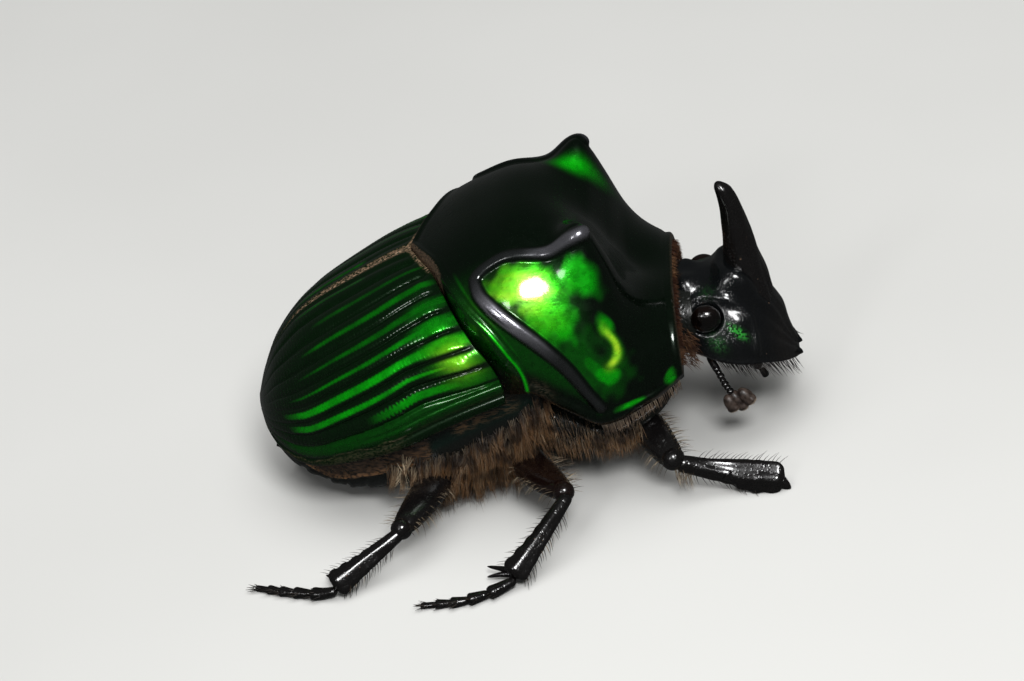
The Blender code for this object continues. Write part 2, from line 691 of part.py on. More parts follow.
def spurs(pair, word, name, side):
    """Spurs at the end of a hinder tibia, on the inner side of the foot and turned away from it."""
    knee, *_, end = (Vector(point) for point in LEGS[pair, word][1])
    foot = LEGS[pair, word][2]
    heading = (Vector(foot[1]) - Vector(foot[0])).to_2d().normalized()
    inward = Vector((-heading.y, heading.x))
    root = end + (knee - end).normalized() * SPUR_ASIDE
    root = Vector((root.x + inward.x * SPUR_ASIDE, root.y + inward.y * SPUR_ASIDE, SPUR_LEVEL))
    made = []
    for number, degrees in enumerate(SPUR_TURNS[pair]):
        turn = math.radians(degrees)
        way = heading * math.cos(turn) + inward * math.sin(turn)
        start = root + Vector((heading.x, heading.y, 1.0)) * SPUR_STEP * number
        tip = start + Vector((way.x, way.y, SPUR_STEP * number)) * SPUR_LENGTH
        half = SPUR_HALF * (1 - SPUR_STEP * number)
        made.append(spike(f"spur_{number}_{name}", mirrored(side, start), mirrored(side, tip), half, sides=5))
    return made


def mirrored(side, point):
    """Point given for the left, placed on a side."""
    return Vector((point[0], side * point[1], point[2]))


def colour(piece, name, rgb, rough, metal=0.0):
    """Give a piece its own material."""
    material = bpy.data.materials.new(name)
    material.use_nodes = True
    shader = material.node_tree.nodes["Principled BSDF"]
    shader.inputs["Base Color"].default_value = (*rgb, 1.0)
    shader.inputs["Roughness"].default_value = rough
    shader.inputs["Metallic"].default_value = metal
    piece.data.materials.clear()
    piece.data.materials.append(material)


def main():
    """Model every piece."""
    clear_scene()
    abdomen = body_piece("abdomen", BACK_TIP + BODY_INSET, WAIST - GAP, 9)
    for piece in (abdomen, thorax("thorax"), chest("prothorax")):
        colour(piece, piece.name, (0.04, 0.025, 0.015), 0.6)
    hard = [shield("pronotum")] + [wing_case(f"elytron_{word}", side) for word, side in SIDES]
    for piece in hard:
        colour(piece, piece.name, (0.0, 0.2, 0.02), 0.25, 0.6)
    black = [head_piece("head"), horn("horn"), mouthparts("mouthparts")]
    for word, side in SIDES:
        black.append(ball(f"eye_{word}", mirrored(side, EYE_PLACE), EYE_SIZE))
        black.append(antenna(f"antenna_{word}", side))
        for pair in LIMBS:
            black.extend(leg(pair, word, side))
    for piece in black:
        colour(piece, piece.name, (0.012, 0.012, 0.012), 0.3)


main()
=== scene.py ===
"""A horned green dung beetle of the genus Oxysternon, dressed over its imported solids.

Sizes are in millimetres in the beetle's own frame: +X towards the head, +Y to its left, +Z up from the floor.
Shape turns them into metres about the middle of the floor under the beetle when it makes a piece.
"""

import bpy
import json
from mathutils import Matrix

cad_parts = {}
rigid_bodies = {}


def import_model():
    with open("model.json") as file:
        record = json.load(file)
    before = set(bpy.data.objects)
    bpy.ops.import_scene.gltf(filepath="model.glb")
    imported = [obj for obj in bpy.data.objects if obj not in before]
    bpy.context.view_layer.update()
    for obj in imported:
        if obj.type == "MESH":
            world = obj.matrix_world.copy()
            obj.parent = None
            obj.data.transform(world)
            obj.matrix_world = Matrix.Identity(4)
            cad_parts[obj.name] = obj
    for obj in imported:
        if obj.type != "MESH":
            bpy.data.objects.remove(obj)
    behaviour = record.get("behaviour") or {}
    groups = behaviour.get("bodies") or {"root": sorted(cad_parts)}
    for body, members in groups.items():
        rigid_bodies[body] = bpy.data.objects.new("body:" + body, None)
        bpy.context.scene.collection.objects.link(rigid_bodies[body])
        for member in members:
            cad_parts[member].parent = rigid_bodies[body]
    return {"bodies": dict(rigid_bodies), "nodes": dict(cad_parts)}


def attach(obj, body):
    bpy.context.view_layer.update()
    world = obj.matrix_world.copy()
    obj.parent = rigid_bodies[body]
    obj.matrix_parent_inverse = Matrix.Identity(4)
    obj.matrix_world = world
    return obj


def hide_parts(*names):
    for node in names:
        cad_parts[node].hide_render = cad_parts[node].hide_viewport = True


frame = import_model()
for stray in set(bpy.data.objects) - set(frame["nodes"].values()) - set(frame["bodies"].values()):
    bpy.data.objects.remove(stray)
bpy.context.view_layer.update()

import json
import logging
import math
from dataclasses import dataclass, field
from enum import Enum
from typing import Callable, Optional, Sequence

import bmesh
import numpy as np
from mathutils import Matrix, Vector

Array = np.ndarray
Point = tuple[float, float, float]
Sheet = Callable[[Array, Array], Array]
Socket = bpy.types.NodeSocket

log = logging.getLogger("beetle")

MM = 0.001
MIDDLE = np.array((-0.25, 0.0, 0.0))
BODY = "root"


class Side(Enum):
    """A side of the beetle and the sign of its y."""

    RIGHT = -1.0
    LEFT = 1.0

    @property
    def word(self) -> str:
        """Name of the side in lower case."""
        return self.name.lower()

    def of(self, points: Sequence) -> Array:
        """Points given for the left, placed on this side."""
        return np.asarray(points, float) * np.array((1.0, self.value, 1.0))


class Slot(Enum):
    """Material slots of the record."""

    GREEN_SHELL = "green_shell"
    BLACK_SHELL = "black_shell"
    UNDERSIDE = "underside"
    EYE = "eye"
    FEELER = "feeler"
    HAIR = "hair"


class Pair(Enum):
    """Pairs of legs."""

    FORE = "fore"
    MID = "mid"
    HIND = "hind"


@dataclass(frozen=True)
class Line:
    """Smooth curve through (x, value) stations, held level past both ends."""

    stations: tuple[tuple[float, float], ...]

    def __call__(self, x: Array) -> Array:
        """Value of the curve.

        Args:
            x: Places along the curve.

        Returns:
            The value at each place.
        """
        xs, ys = np.array(self.stations, float).T
        slopes = np.diff(ys) / np.diff(xs)
        before, after = slopes[:-1], slopes[1:]
        total = np.where(before + after == 0.0, 1.0, before + after)
        inner = np.where(before * after <= 0.0, 0.0, 2.0 * before * after / total)
        tangent = np.concatenate([slopes[:1], inner, slopes[-1:]])
        x = np.clip(np.asarray(x, float), xs[0], xs[-1])
        i = np.clip(np.searchsorted(xs, x) - 1, 0, len(slopes) - 1)
        span = xs[i + 1] - xs[i]
        t = (x - xs[i]) / span
        rise = (1 + 2 * t) * (1 - t) ** 2 * ys[i] + t * t * (3 - 2 * t) * ys[i + 1]
        return rise + span * (t * (1 - t) ** 2 * tangent[i] - t * t * (1 - t) * tangent[i + 1])


def arch(angle: Array, power: Array | float) -> tuple[Array, Array]:
    """Superellipse of unit size.

    Args:
        angle: Angles round it.
        power: Its power, 2 for a circle.

    Returns:
        How far across and how far up each point lies.
    """
    across, up = np.cos(angle), np.sin(angle)
    bend = 2.0 / power
    return np.copysign(np.abs(across) ** bend, across), np.copysign(np.abs(up) ** bend, up)


def hill(along: Array, across: Array, spread: float) -> Array:
    """Height of a smooth round hill of unit height at an offset from its top."""
    return np.exp(-(along ** 2 + across ** 2) / spread ** 2)


def bell(value: Array, middle: Array, wide: float) -> Array:
    """Bell curve of unit height at the middle, falling off with the given width."""
    return np.exp(-((value - middle) / wide) ** 2)


def ease(low: float, high: float, value: Array) -> Array:
    """Smooth step from 0 at low to 1 at high."""
    t = np.clip((np.asarray(value, float) - low) / (high - low), 0.0, 1.0)
    return t * t * (3 - 2 * t)


def stack(x: Array | float, y: Array | float, z: Array | float) -> Array:
    """Points from their coordinates."""
    return np.stack(np.broadcast_arrays(x, y, z), axis=-1).astype(float)


def unit(vectors: Array) -> Array:
    """Vectors at unit length."""
    return vectors / np.maximum(np.linalg.norm(vectors, axis=-1, keepdims=True), 1e-9)


def normals(grid: Array, wrap: bool = False) -> Array:
    """Unit normals of a grid of points.

    Args:
        grid: Points by row and column.
        wrap: Whether the columns close on themselves.

    Returns:
        A normal at each point.
    """
    down = np.gradient(grid, axis=0)
    if wrap:
        aside = (np.roll(grid, -1, axis=1) - np.roll(grid, 1, axis=1)) / 2
    else:
        aside = np.gradient(grid, axis=1)
    return unit(np.cross(down, aside))


def outwards(rings: Array) -> Array:
    """Unit normals of closed rings, turned away from the rings' middles."""
    outward = normals(rings, wrap=True)
    from_middle = rings - rings.mean(axis=1, keepdims=True)
    return outward * np.sign((from_middle * outward).sum(axis=-1).mean())


def away(points: Array, path: Array, sizes: Array) -> tuple[Array, Array]:
    """How far points lie from a path.

    Args:
        points: The points.
        path: Points along the path.
        sizes: A size at each point of the path.

    Returns:
        The distance of each point from the path, and the size where it is nearest.
    """
    best = np.full(points.shape[:-1], np.inf)
    size = np.zeros(points.shape[:-1])
    for start, end, first, last in zip(path, path[1:], sizes, sizes[1:]):
        line = end - start
        t = np.clip(((points - start) @ line) / max(line @ line, 1e-9), 0.0, 1.0)
        off = np.linalg.norm(points - start - t[..., None] * line, axis=-1)
        nearer = off < best
        best = np.where(nearer, off, best)
        size = np.where(nearer, first + (last - first) * t, size)
    return best, size


def resample(path: Sequence[Point], count: int) -> tuple[Array, Array]:
    """Smooth path through joints.

    Args:
        path: The joints.
        count: How many points it gets.

    Returns:
        The points, and the share of the joints' whole length at each joint.
    """
    joints = np.asarray(path, float)
    lengths = np.linalg.norm(np.diff(joints, axis=0), axis=1)
    shares = np.concatenate([[0.0], np.cumsum(lengths)]) / lengths.sum()
    t = np.linspace(0.0, 1.0, count)
    lines = [Line(tuple(zip(shares, joints[:, axis]))) for axis in range(3)]
    return np.stack([line(t) for line in lines], axis=-1), shares


class Board:
    """Nodes of a material, laid and linked by name."""

    def __init__(self, name: str) -> None:
        """Start an empty material with a principled shader."""
        self.material = bpy.data.materials.new(name)
        self.material.use_nodes = True
        self.tree = self.material.node_tree
        self.shader = self.tree.nodes["Principled BSDF"]
        place = self.add("ShaderNodeTexCoord")
        scale = self.add("ShaderNodeMapping")
        scale.inputs["Scale"].default_value = (1 / MM, 1 / MM, 1 / MM)
        self.link(place.outputs["Object"], scale.inputs["Vector"])
        self.place = scale.outputs["Vector"]

    def add(self, kind: str, **settings: object) -> bpy.types.Node:
        """New node with its properties set."""
        node = self.tree.nodes.new(kind)
        for name, value in settings.items():
            setattr(node, name, value)
        return node

    def link(self, out: Socket, into: Socket) -> None:
        """Link two sockets."""
        self.tree.links.new(out, into)

    def mark(self, name: str) -> Socket:
        """Value of the piece's own attribute."""
        return self.add("ShaderNodeAttribute", attribute_name=name).outputs["Fac"]

    def noise(self, scale: float, detail: float = 3.0, stretch: Point = (1.0, 1.0, 1.0)) -> Socket:
        """Noise over the piece.

        Args:
            scale: Repeats to a millimetre.
            detail: Octaves.
            stretch: Scale along each axis.

        Returns:
            Its value.
        """
        turn = self.add("ShaderNodeMapping")
        turn.inputs["Scale"].default_value = stretch
        self.link(self.place, turn.inputs["Vector"])
        node = self.add("ShaderNodeTexNoise")
        node.inputs["Scale"].default_value = scale
        node.inputs["Detail"].default_value = detail
        self.link(turn.outputs["Vector"], node.inputs["Vector"])
        return node.outputs["Fac"]

    def cells(self, scale: float) -> Socket:
        """Distance to the middle of each of many small cells."""
        node = self.add("ShaderNodeTexVoronoi")
        node.inputs["Scale"].default_value = scale
        self.link(self.place, node.inputs["Vector"])
        return node.outputs["Distance"]

    def span(self, value: Socket, low: float, high: float, first: float = 0.0, last: float = 1.0) -> Socket:
        """Value spread from one range to another.

        Args:
            value: The value.
            low: Start of its range.
            high: End of its range.
            first: What the start becomes.
            last: What the end becomes.

        Returns:
            The new value, held within its range.
        """
        node = self.add("ShaderNodeMapRange", interpolation_type="SMOOTHSTEP")
        for name, number in (("From Min", low), ("From Max", high), ("To Min", first), ("To Max", last)):
            node.inputs[name].default_value = number
        self.link(value, node.inputs["Value"])
        return node.outputs["Result"]

    def sum(self, operation: str, a: Socket, b: Socket | float) -> Socket:
        """Two values joined by an operation."""
        node = self.add("ShaderNodeMath", operation=operation)
        self.link(a, node.inputs[0])
        if isinstance(b, float):
            node.inputs[1].default_value = b
        else:
            self.link(b, node.inputs[1])
        return node.outputs[0]

    def mix(self, share: Socket, a: object, b: object) -> Socket:
        """Colour between two others.

        Args:
            share: How much of the second there is.
            a: The first, three numbers or a socket.
            b: The second, three numbers or a socket.

        Returns:
            The mixed colour.
        """
        node = self.add("ShaderNodeMix", data_type="RGBA")
        self.link(share, node.inputs["Factor"])
        for socket, colour in ((node.inputs[6], a), (node.inputs[7], b)):
            if isinstance(colour, tuple):
                socket.default_value = (*colour, 1.0)
            else:
                self.link(colour, socket)
        return node.outputs[2]

    def bump(self, height: Socket, depth: float, under: Optional[Socket] = None) -> Socket:
        """Bumped normal.

        Args:
            height: Height from 0 to 1.
            depth: Depth in millimetres.
            under: Normal that it lies on.

        Returns:
            The normal.
        """
        node = self.add("ShaderNodeBump")
        node.inputs["Strength"].default_value = 1.0
        node.inputs["Distance"].default_value = depth * MM
        self.link(height, node.inputs["Height"])
        if under is not None:
            self.link(under, node.inputs["Normal"])
        return node.outputs["Normal"]

    def set(self, **values: object) -> bpy.types.Material:
        """Fill the shader's sockets, by name with _ for a space, and hand back the material."""
        for name, value in values.items():
            socket = self.shader.inputs[name.replace("_", " ")]
            if isinstance(value, Socket):
                self.link(value, socket)
            else:
                socket.default_value = (*value, 1.0) if isinstance(value, tuple) else value
        return self.material


@dataclass(frozen=True)
class Finish:
    """A finish, made into a material once."""

    name: str

    def material(self) -> bpy.types.Material:
        """The finish as a material."""
        return bpy.data.materials.get(self.name) or self.make()

    def make(self) -> bpy.types.Material:
        """Build the material."""
        raise NotImplementedError


@dataclass(frozen=True)
class MetalShell(Finish):
    """Black shell with painted green and golden gleams, a painted grey sheen on its rims, and dust where its
    marks say.
    """

    dark: Point = (0.0012, 0.0045, 0.002)
    # Colours of the painted green and golden reflections.
    vivid: Point = (0.001, 0.72, 0.004)
    golden: Point = (0.6, 0.95, 0.03)
    brown: Point = (0.03, 0.015, 0.008)
    cream: Point = (0.25, 0.165, 0.1)
    # Grey of the painted sheen along the rims.
    worn: Point = (0.27, 0.265, 0.3)

    def make(self) -> bpy.types.Material:
        """Build the material."""
        board = Board(self.name)
        cloud = board.span(board.noise(1.1, 4.0, (0.6, 1.4, 1.4)), 0.35, 0.7, 0.45, 1.0)
        # Painted reflections: green, golden where the Gold mark says, laid on where the Green mark says.
        gleam = board.mix(board.sum("MULTIPLY", board.mark("Gold"), cloud), self.vivid, self.golden)
        uneven = board.span(board.noise(3.4, 5.0), 0.25, 0.6, 0.75, 1.0)
        # Painted grey sheen on the rims, where their sheen mark says.
        plain = board.mix(board.mark("Worn"), self.dark, self.worn)
        shell = board.mix(board.sum("MULTIPLY", board.mark("Green"), uneven), plain, gleam)
        dusty = board.mark("Dust")
        grit = board.noise(11.0, 6.0, (0.45, 1.3, 1.3))
        dust = board.sum("MULTIPLY", board.span(dusty, 0.0, 0.5), board.span(grit, 0.36, 0.56))
        crumbs = board.mix(board.sum("MULTIPLY", dusty, board.span(grit, 0.45, 0.62)), self.brown, self.cream)
        rough = board.span(board.noise(2.2, 4.0), 0.3, 0.7, 0.22, 0.34)
        metal = board.sum("MULTIPLY", board.span(dust, 0.0, 0.6, 0.7, 0.0),
                          board.span(board.mark("Gold"), 0.0, 1.0, 1.0, 0.5))
        wrinkle = board.bump(board.noise(9.0, 3.0, (0.35, 1.0, 1.0)), 0.004)
        return board.set(
            Base_Color=board.mix(dust, shell, crumbs),
            Metallic=board.sum("MAXIMUM", board.mark("Worn"), metal),
            Roughness=board.sum("ADD", rough, board.span(dust, 0.0, 1.0, 0.0, 0.5)),
            Coat_Weight=board.span(dust, 0.0, 0.6, 0.9, 0.0),
            Coat_Roughness=0.09,
            Normal=board.bump(board.span(board.noise(5.0, 4.0), 0.4, 0.62), 0.0015, wrinkle),
        )


@dataclass(frozen=True)
class BlackShell(Finish):
    """Glossy black shell with fine pits, and dust in its hollows where its Dust mark says."""

    tint: Point = (0.004, 0.0035, 0.0035)
    dust: Point = (0.17, 0.1, 0.06)
    grain: float = 6.0
    depth: float = 0.009
    gloss: tuple[float, float] = (0.16, 0.3)
    specks: float = 0.71
    coat: float = 0.06
    green: Point = (0.01, 0.3, 0.02)

    def make(self) -> bpy.types.Material:
        """Build the material."""
        board = Board(self.name)
        flecks = board.span(board.noise(2.6, 6.0), self.specks, self.specks + 0.05)
        dust = board.sum("MAXIMUM", board.sum("MULTIPLY", board.mark("Dust"), board.noise(3.5, 5.0)), flecks)
        grains = board.span(board.noise(7.0, 5.0), 0.38, 0.58)
        # Green where the Green mark says: the shell's own green, shown only where it gleams, partly painted
        # reflection.
        shell = board.mix(board.sum("MULTIPLY", board.mark("Green"), grains), self.tint, self.green)
        pits = board.span(board.cells(self.grain), 0.05, 0.5)
        coarse = board.bump(pits, self.depth)
        return board.set(
            Base_Color=board.mix(dust, shell, self.dust),
            Metallic=board.span(board.mark("Green"), 0.0, 1.0, 0.0, 0.45),
            Roughness=board.sum("ADD", board.span(board.noise(1.8, 5.0), 0.3, 0.7, *self.gloss),
                                board.span(dust, 0.0, 1.0, 0.0, 0.5)),
            Specular_IOR_Level=0.6,
            Coat_Weight=board.span(dust, 0.0, 0.5, 0.55, 0.0),
            Coat_Roughness=self.coat,
            Normal=board.bump(board.noise(14.0, 3.0), self.depth * 0.4, coarse),
        )


@dataclass(frozen=True)
class Underside(Finish):
    """Dark skin of the underside, brown, coppery or teal where its marks say."""

    dark: Point = (0.006, 0.007, 0.006)
    brown: Point = (0.019, 0.009, 0.0045)
    copper: Point = (0.3, 0.155, 0.07)
    teal: Point = (0.002, 0.011, 0.0075)

    def make(self) -> bpy.types.Material:
        """Build the material."""
        board = Board(self.name)
        patchy = board.sum("MULTIPLY", board.mark("Dust"), board.span(board.noise(1.6, 5.0), 0.3, 0.6))
        shell = board.mix(board.mark("Green"), self.dark, self.teal)
        dusty = board.mix(patchy, shell, self.brown)
        streaks = board.span(board.noise(7.0, 6.0, (0.3, 1.0, 1.5)), 0.4, 0.62)
        crust = board.sum("MULTIPLY", board.mark("Gold"), streaks)
        pits = board.bump(board.span(board.cells(4.0), 0.05, 0.45), 0.014)
        return board.set(
            Base_Color=board.mix(crust, dusty, self.copper),
            Metallic=board.span(crust, 0.0, 1.0, 0.0, 0.35),
            Roughness=board.span(patchy, 0.0, 1.0, 0.24, 0.7),
            Normal=board.bump(board.noise(8.0, 4.0), 0.012, pits),
        )


@dataclass(frozen=True)
class EyeGloss(Finish):
    """Deep brown eye with fine facets under a clear gloss."""

    dark: Point = (0.001, 0.0006, 0.0005)
    brown: Point = (0.004, 0.0015, 0.001)

    def make(self) -> bpy.types.Material:
        """Build the material."""
        board = Board(self.name)
        facets = board.span(board.cells(22.0), 0.0, 0.6, 1.0, 0.0)
        cloud = board.span(board.noise(0.8, 2.0), 0.35, 0.7)
        return board.set(
            Base_Color=board.mix(cloud, self.dark, self.brown),
            Roughness=board.span(board.noise(3.0, 3.0), 0.3, 0.7, 0.12, 0.2),
            Coat_Weight=1.0,
            Coat_Roughness=0.04,
            Normal=board.bump(facets, 0.004),
        )


@dataclass(frozen=True)
class ClubLeaf(Finish):
    """Soft leaf of the feeler's club, brown with a cream edge."""

    dark: Point = (0.015, 0.01, 0.008)
    brown: Point = (0.05, 0.035, 0.028)
    cream: Point = (0.3, 0.23, 0.17)

    def make(self) -> bpy.types.Material:
        """Build the material."""
        board = Board(self.name)
        edge = board.span(board.mark("Rim"), 0.6, 1.0)
        cloud = board.span(board.noise(3.0, 4.0), 0.35, 0.65)
        body = board.mix(cloud, self.dark, self.brown)
        return board.set(
            Base_Color=board.mix(edge, body, self.cream),
            Roughness=board.span(board.noise(6.0, 3.0), 0.3, 0.7, 0.3, 0.5),
            Normal=board.bump(board.noise(16.0, 3.0), 0.006),
        )


@dataclass(frozen=True)
class Hair(Finish):
    """Hair that runs from a root colour to a tip colour, each strand a little lighter or darker."""

    root: Point = (0.008, 0.004, 0.002)
    tip: Point = (0.18, 0.088, 0.034)
    pale: Point = (0.62, 0.5, 0.34)
    rough: float = 0.38

    def make(self) -> bpy.types.Material:
        """Build the material."""
        board = Board(self.name)
        along = board.span(board.mark("Along"), 0.0, 1.0)
        body = board.mix(along, self.root, self.tip)
        tinted = board.mix(board.mark("Tone"), body, self.pale)
        clumps = board.span(board.noise(1.3, 5.0), 0.38, 0.58, 0.85, 0.0)
        return board.set(
            Base_Color=board.mix(clumps, tinted, self.root),
            Roughness=board.span(board.noise(5.0, 2.0), 0.3, 0.7, self.rough, self.rough + 0.15),
            Specular_IOR_Level=0.35,
        )


@dataclass(frozen=True)
class PaleFloor(Finish):
    """Plain pale floor."""

    first: Point = (0.62, 0.62, 0.6)
    last: Point = (0.66, 0.66, 0.64)

    def make(self) -> bpy.types.Material:
        """Build the material."""
        board = Board(self.name)
        cloud = board.span(board.noise(0.02, 3.0), 0.3, 0.7)
        return board.set(Base_Color=board.mix(cloud, self.first, self.last), Roughness=0.7)


GREEN = MetalShell("Green metal shell")
BLACK = BlackShell("Black shell")
RED_BLACK = BlackShell("Red-black shell", tint=(0.005, 0.002, 0.0015), grain=4.0, gloss=(0.18, 0.32),
                       specks=0.8)
FACE = BlackShell("Grainy head shell", tint=(0.0025, 0.003, 0.0035), grain=9.0, depth=0.011,
                  gloss=(0.17, 0.27), specks=0.72, coat=0.1, green=(0.05, 0.5, 0.06))
SKIN = Underside("Dusty underside")
EYE = EyeGloss("Eye gloss")
LEAF = ClubLeaf("Club leaf")
FUR = Hair("Brown gold hair")
BLACK_BRISTLE = Hair("Black bristle", root=(0.003, 0.002, 0.002), tip=(0.01, 0.007, 0.005),
                     pale=(0.03, 0.022, 0.016))
PALE_BRISTLE = Hair("Pale bristle", root=(0.014, 0.008, 0.005), tip=(0.15, 0.1, 0.07))
RED_HAIR = Hair("Red gold hair", root=(0.02, 0.006, 0.003), tip=(0.065, 0.025, 0.011),
                pale=(0.24, 0.13, 0.06))
FLOOR_FINISH = PaleFloor("Pale floor")


@dataclass
class Shape:
    """Points, faces and marks of a piece as it grows."""

    marks: tuple[str, ...] = ("Green", "Gold", "Dust", "Worn")
    points: list[Array] = field(default_factory=list)
    faces: list[tuple[int, ...]] = field(default_factory=list)
    values: dict[str, list[Array]] = field(default_factory=dict)
    count: int = 0

    def add(self, points: Array, **marks: Array | float) -> Array:
        """Take points in.

        Args:
            points: The points, in any arrangement.
            marks: A value at each point, by the mark's name.

        Returns:
            Their numbers, in the same arrangement.
        """
        shape = points.shape[:-1]
        size = int(np.prod(shape))
        self.points.append(points.reshape(-1, 3))
        for name in self.marks:
            value = np.broadcast_to(np.asarray(marks.get(name, 0.0), float), shape)
            self.values.setdefault(name, []).append(value.reshape(-1))
        index = np.arange(self.count, self.count + size).reshape(shape)
        self.count += size
        return index

    def sheet(self, index: Array, wrap: bool = False) -> None:
        """Lay faces over a grid of points.

        Args:
            index: Numbers of the points by row and column.
            wrap: Whether the columns close on themselves.
        """
        if wrap:
            index = np.concatenate([index, index[:, :1]], axis=1)
        quads = np.stack([index[:-1, :-1], index[:-1, 1:], index[1:, 1:], index[1:, :-1]], axis=-1)
        self.faces.extend(map(tuple, quads.reshape(-1, 4).tolist()))

    def bridge(self, first: Array, last: Array) -> None:
        """Join two loops of as many points."""
        self.sheet(np.stack([first, last]), wrap=True)

    def fan(self, loop: Array, hub: Array) -> None:
        """Close a loop by a fan to a point."""
        middle = int(self.add(np.asarray(hub, float)[None])[0])
        self.faces.extend((int(a), int(b), middle) for a, b in zip(loop, np.roll(loop, -1)))

    def loft(self, rings: Array, **marks: Array | float) -> Array:
        """Closed body through rings.

        Args:
            rings: Points by ring and place round it.
            marks: Marks at each point.

        Returns:
            Numbers of the points.
        """
        index = self.add(rings, **marks)
        self.sheet(index, wrap=True)
        self.fan(index[0], rings[0].mean(axis=0))
        self.fan(index[-1], rings[-1].mean(axis=0))
        return index

    def shell(self, top: Sheet, floor: Sheet, rows: int, columns: int,
              shrink: Sequence[float] = (1.0, 0.98, 0.92, 0.75, 0.5, 0.25),
              marks: Optional[Callable[[Array, Array], dict]] = None) -> None:
        """Closed plate between a fine top and a plainer floor that both run over a square.

        Args:
            top: Top surface.
            floor: Under surface.
            rows: Rows of the top.
            columns: Columns of the top.
            shrink: Sizes of the loops that the floor is made of.
            marks: Marks of the top.
        """
        down, aside = np.meshgrid(np.linspace(0, 1, rows), np.linspace(0, 1, columns), indexing="ij")
        index = self.add(top(down, aside), **(marks(down, aside) if marks else {}))
        self.sheet(index)
        loop = np.concatenate([index[0], index[1:, -1], index[-1, -2::-1], index[-2:0:-1, 0]])
        u, v = (np.concatenate([a[0], a[1:, -1], a[-1, -2::-1], a[-2:0:-1, 0]]) for a in (down, aside))
        last = loop
        for share in shrink:
            ring = self.add(floor(0.5 + (u - 0.5) * share, 0.5 + (v - 0.5) * share))
            self.bridge(last, ring)
            last = ring
        half = np.array([0.5])
        self.fan(last, floor(half, half)[0])

    def piece(self, name: str, finish: Finish, slot: Slot, *nodes: str) -> bpy.types.Object:
        """Make the piece and let it ride.

        Args:
            name: Its name.
            finish: Its finish.
            slot: Its slot in the record.
            nodes: Solids that it stands for.

        Returns:
            The piece.
        """
        points = (np.concatenate(self.points) - MIDDLE) * MM
        mesh = bpy.data.meshes.new(name)
        mesh.from_pydata(points.tolist(), [], self.faces)
        body = bmesh.new()
        body.from_mesh(mesh)
        bmesh.ops.recalc_face_normals(body, faces=body.faces)
        body.to_mesh(mesh)
        body.free()
        for mark in self.marks:
            layer = mesh.attributes.new(mark, "FLOAT", "POINT")
            layer.data.foreach_set("value", np.concatenate(self.values[mark]).astype(np.float32))
        mesh.shade_smooth()
        return dress(mesh, name, finish, slot, *nodes)


def put(name: str, data: bpy.types.ID) -> bpy.types.Object:
    """A new object in the scene, at the origin."""
    thing = bpy.data.objects.new(name, data)
    bpy.context.scene.collection.objects.link(thing)
    return thing


def dress(mesh: bpy.types.Mesh, name: str, finish: Finish, slot: Slot, *nodes: str) -> bpy.types.Object:
    """Put a finished mesh into the scene.

    Args:
        mesh: The mesh, in metres.
        name: Name of its object.
        finish: Its finish.
        slot: Its slot in the record; not used.
        nodes: Solids that it stands for.

    Returns:
        The object.
    """
    mesh.materials.clear()
    mesh.materials.append(finish.material())
    piece = put(name, mesh)
    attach(piece, BODY)
    if nodes:
        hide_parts(*nodes)
    triangles = sum(len(face.vertices) - 2 for face in mesh.polygons)
    stands_for = ", ".join(nodes) or "nothing"
    log.info("%s: %d triangles, finish %s, stands for %s", name, triangles, finish.name, stands_for)
    return piece


def tube_rings(path: Array, half: Array, broad: Array, sides: int, power: float = 2.0,
               relief: Optional[Callable[[Array, Array], Array]] = None) -> Array:
    """Rings of a tapered tube.

    Args:
        path: Points along it.
        half: Half width and half thickness at each point.
        broad: Direction of its width.
        sides: Points to a ring.
        power: Power of its cross-section.
        relief: Factor on its size by share along and angle round.

    Returns:
        Points by ring and place round it.
    """
    tangent = unit(np.gradient(path, axis=0))
    broad = np.broadcast_to(np.asarray(broad, float), path.shape)
    wide = unit(broad - tangent * (tangent * broad).sum(axis=1, keepdims=True))
    thick = np.cross(tangent, wide)
    turn = 2 * np.pi * np.arange(sides) / sides
    across, up = arch(turn, power)
    factor = np.ones((len(path), sides))
    if relief is not None:
        share = np.linspace(0, 1, len(path))[:, None]
        factor = relief(share, turn[None])
    rings = path[:, None] + wide[:, None] * (half[:, :1] * across * factor)[..., None]
    return rings + thick[:, None] * (half[:, 1:] * up * factor)[..., None]


def rounded(count: int, first: float, last: float) -> Array:
    """Factor that rounds both ends of a tube off.

    Args:
        count: Points along the tube.
        first: Share of its length that the first end takes.
        last: The same for the last end.

    Returns:
        The factor at each point.
    """
    t = np.linspace(0, 1, count)
    start = np.clip(t / max(first, 1e-6), 0.0, 1.0)
    end = np.clip((1 - t) / max(last, 1e-6), 0.0, 1.0)
    return np.maximum(np.sqrt(1 - (1 - start) ** 2) * np.sqrt(1 - (1 - end) ** 2), 0.03)


def ball_rings(centre: Sequence[float], size: Sequence[float], bands: int = 24, sides: int = 32) -> Array:
    """Rings of an ellipsoid along its z, without its poles."""
    polar = np.linspace(0, np.pi, bands + 2)[1:-1, None]
    turn = 2 * np.pi * np.arange(sides)[None] / sides
    points = stack(np.sin(polar) * np.cos(turn), np.sin(polar) * np.sin(turn), np.cos(polar))
    return np.asarray(centre) + points * np.asarray(size)


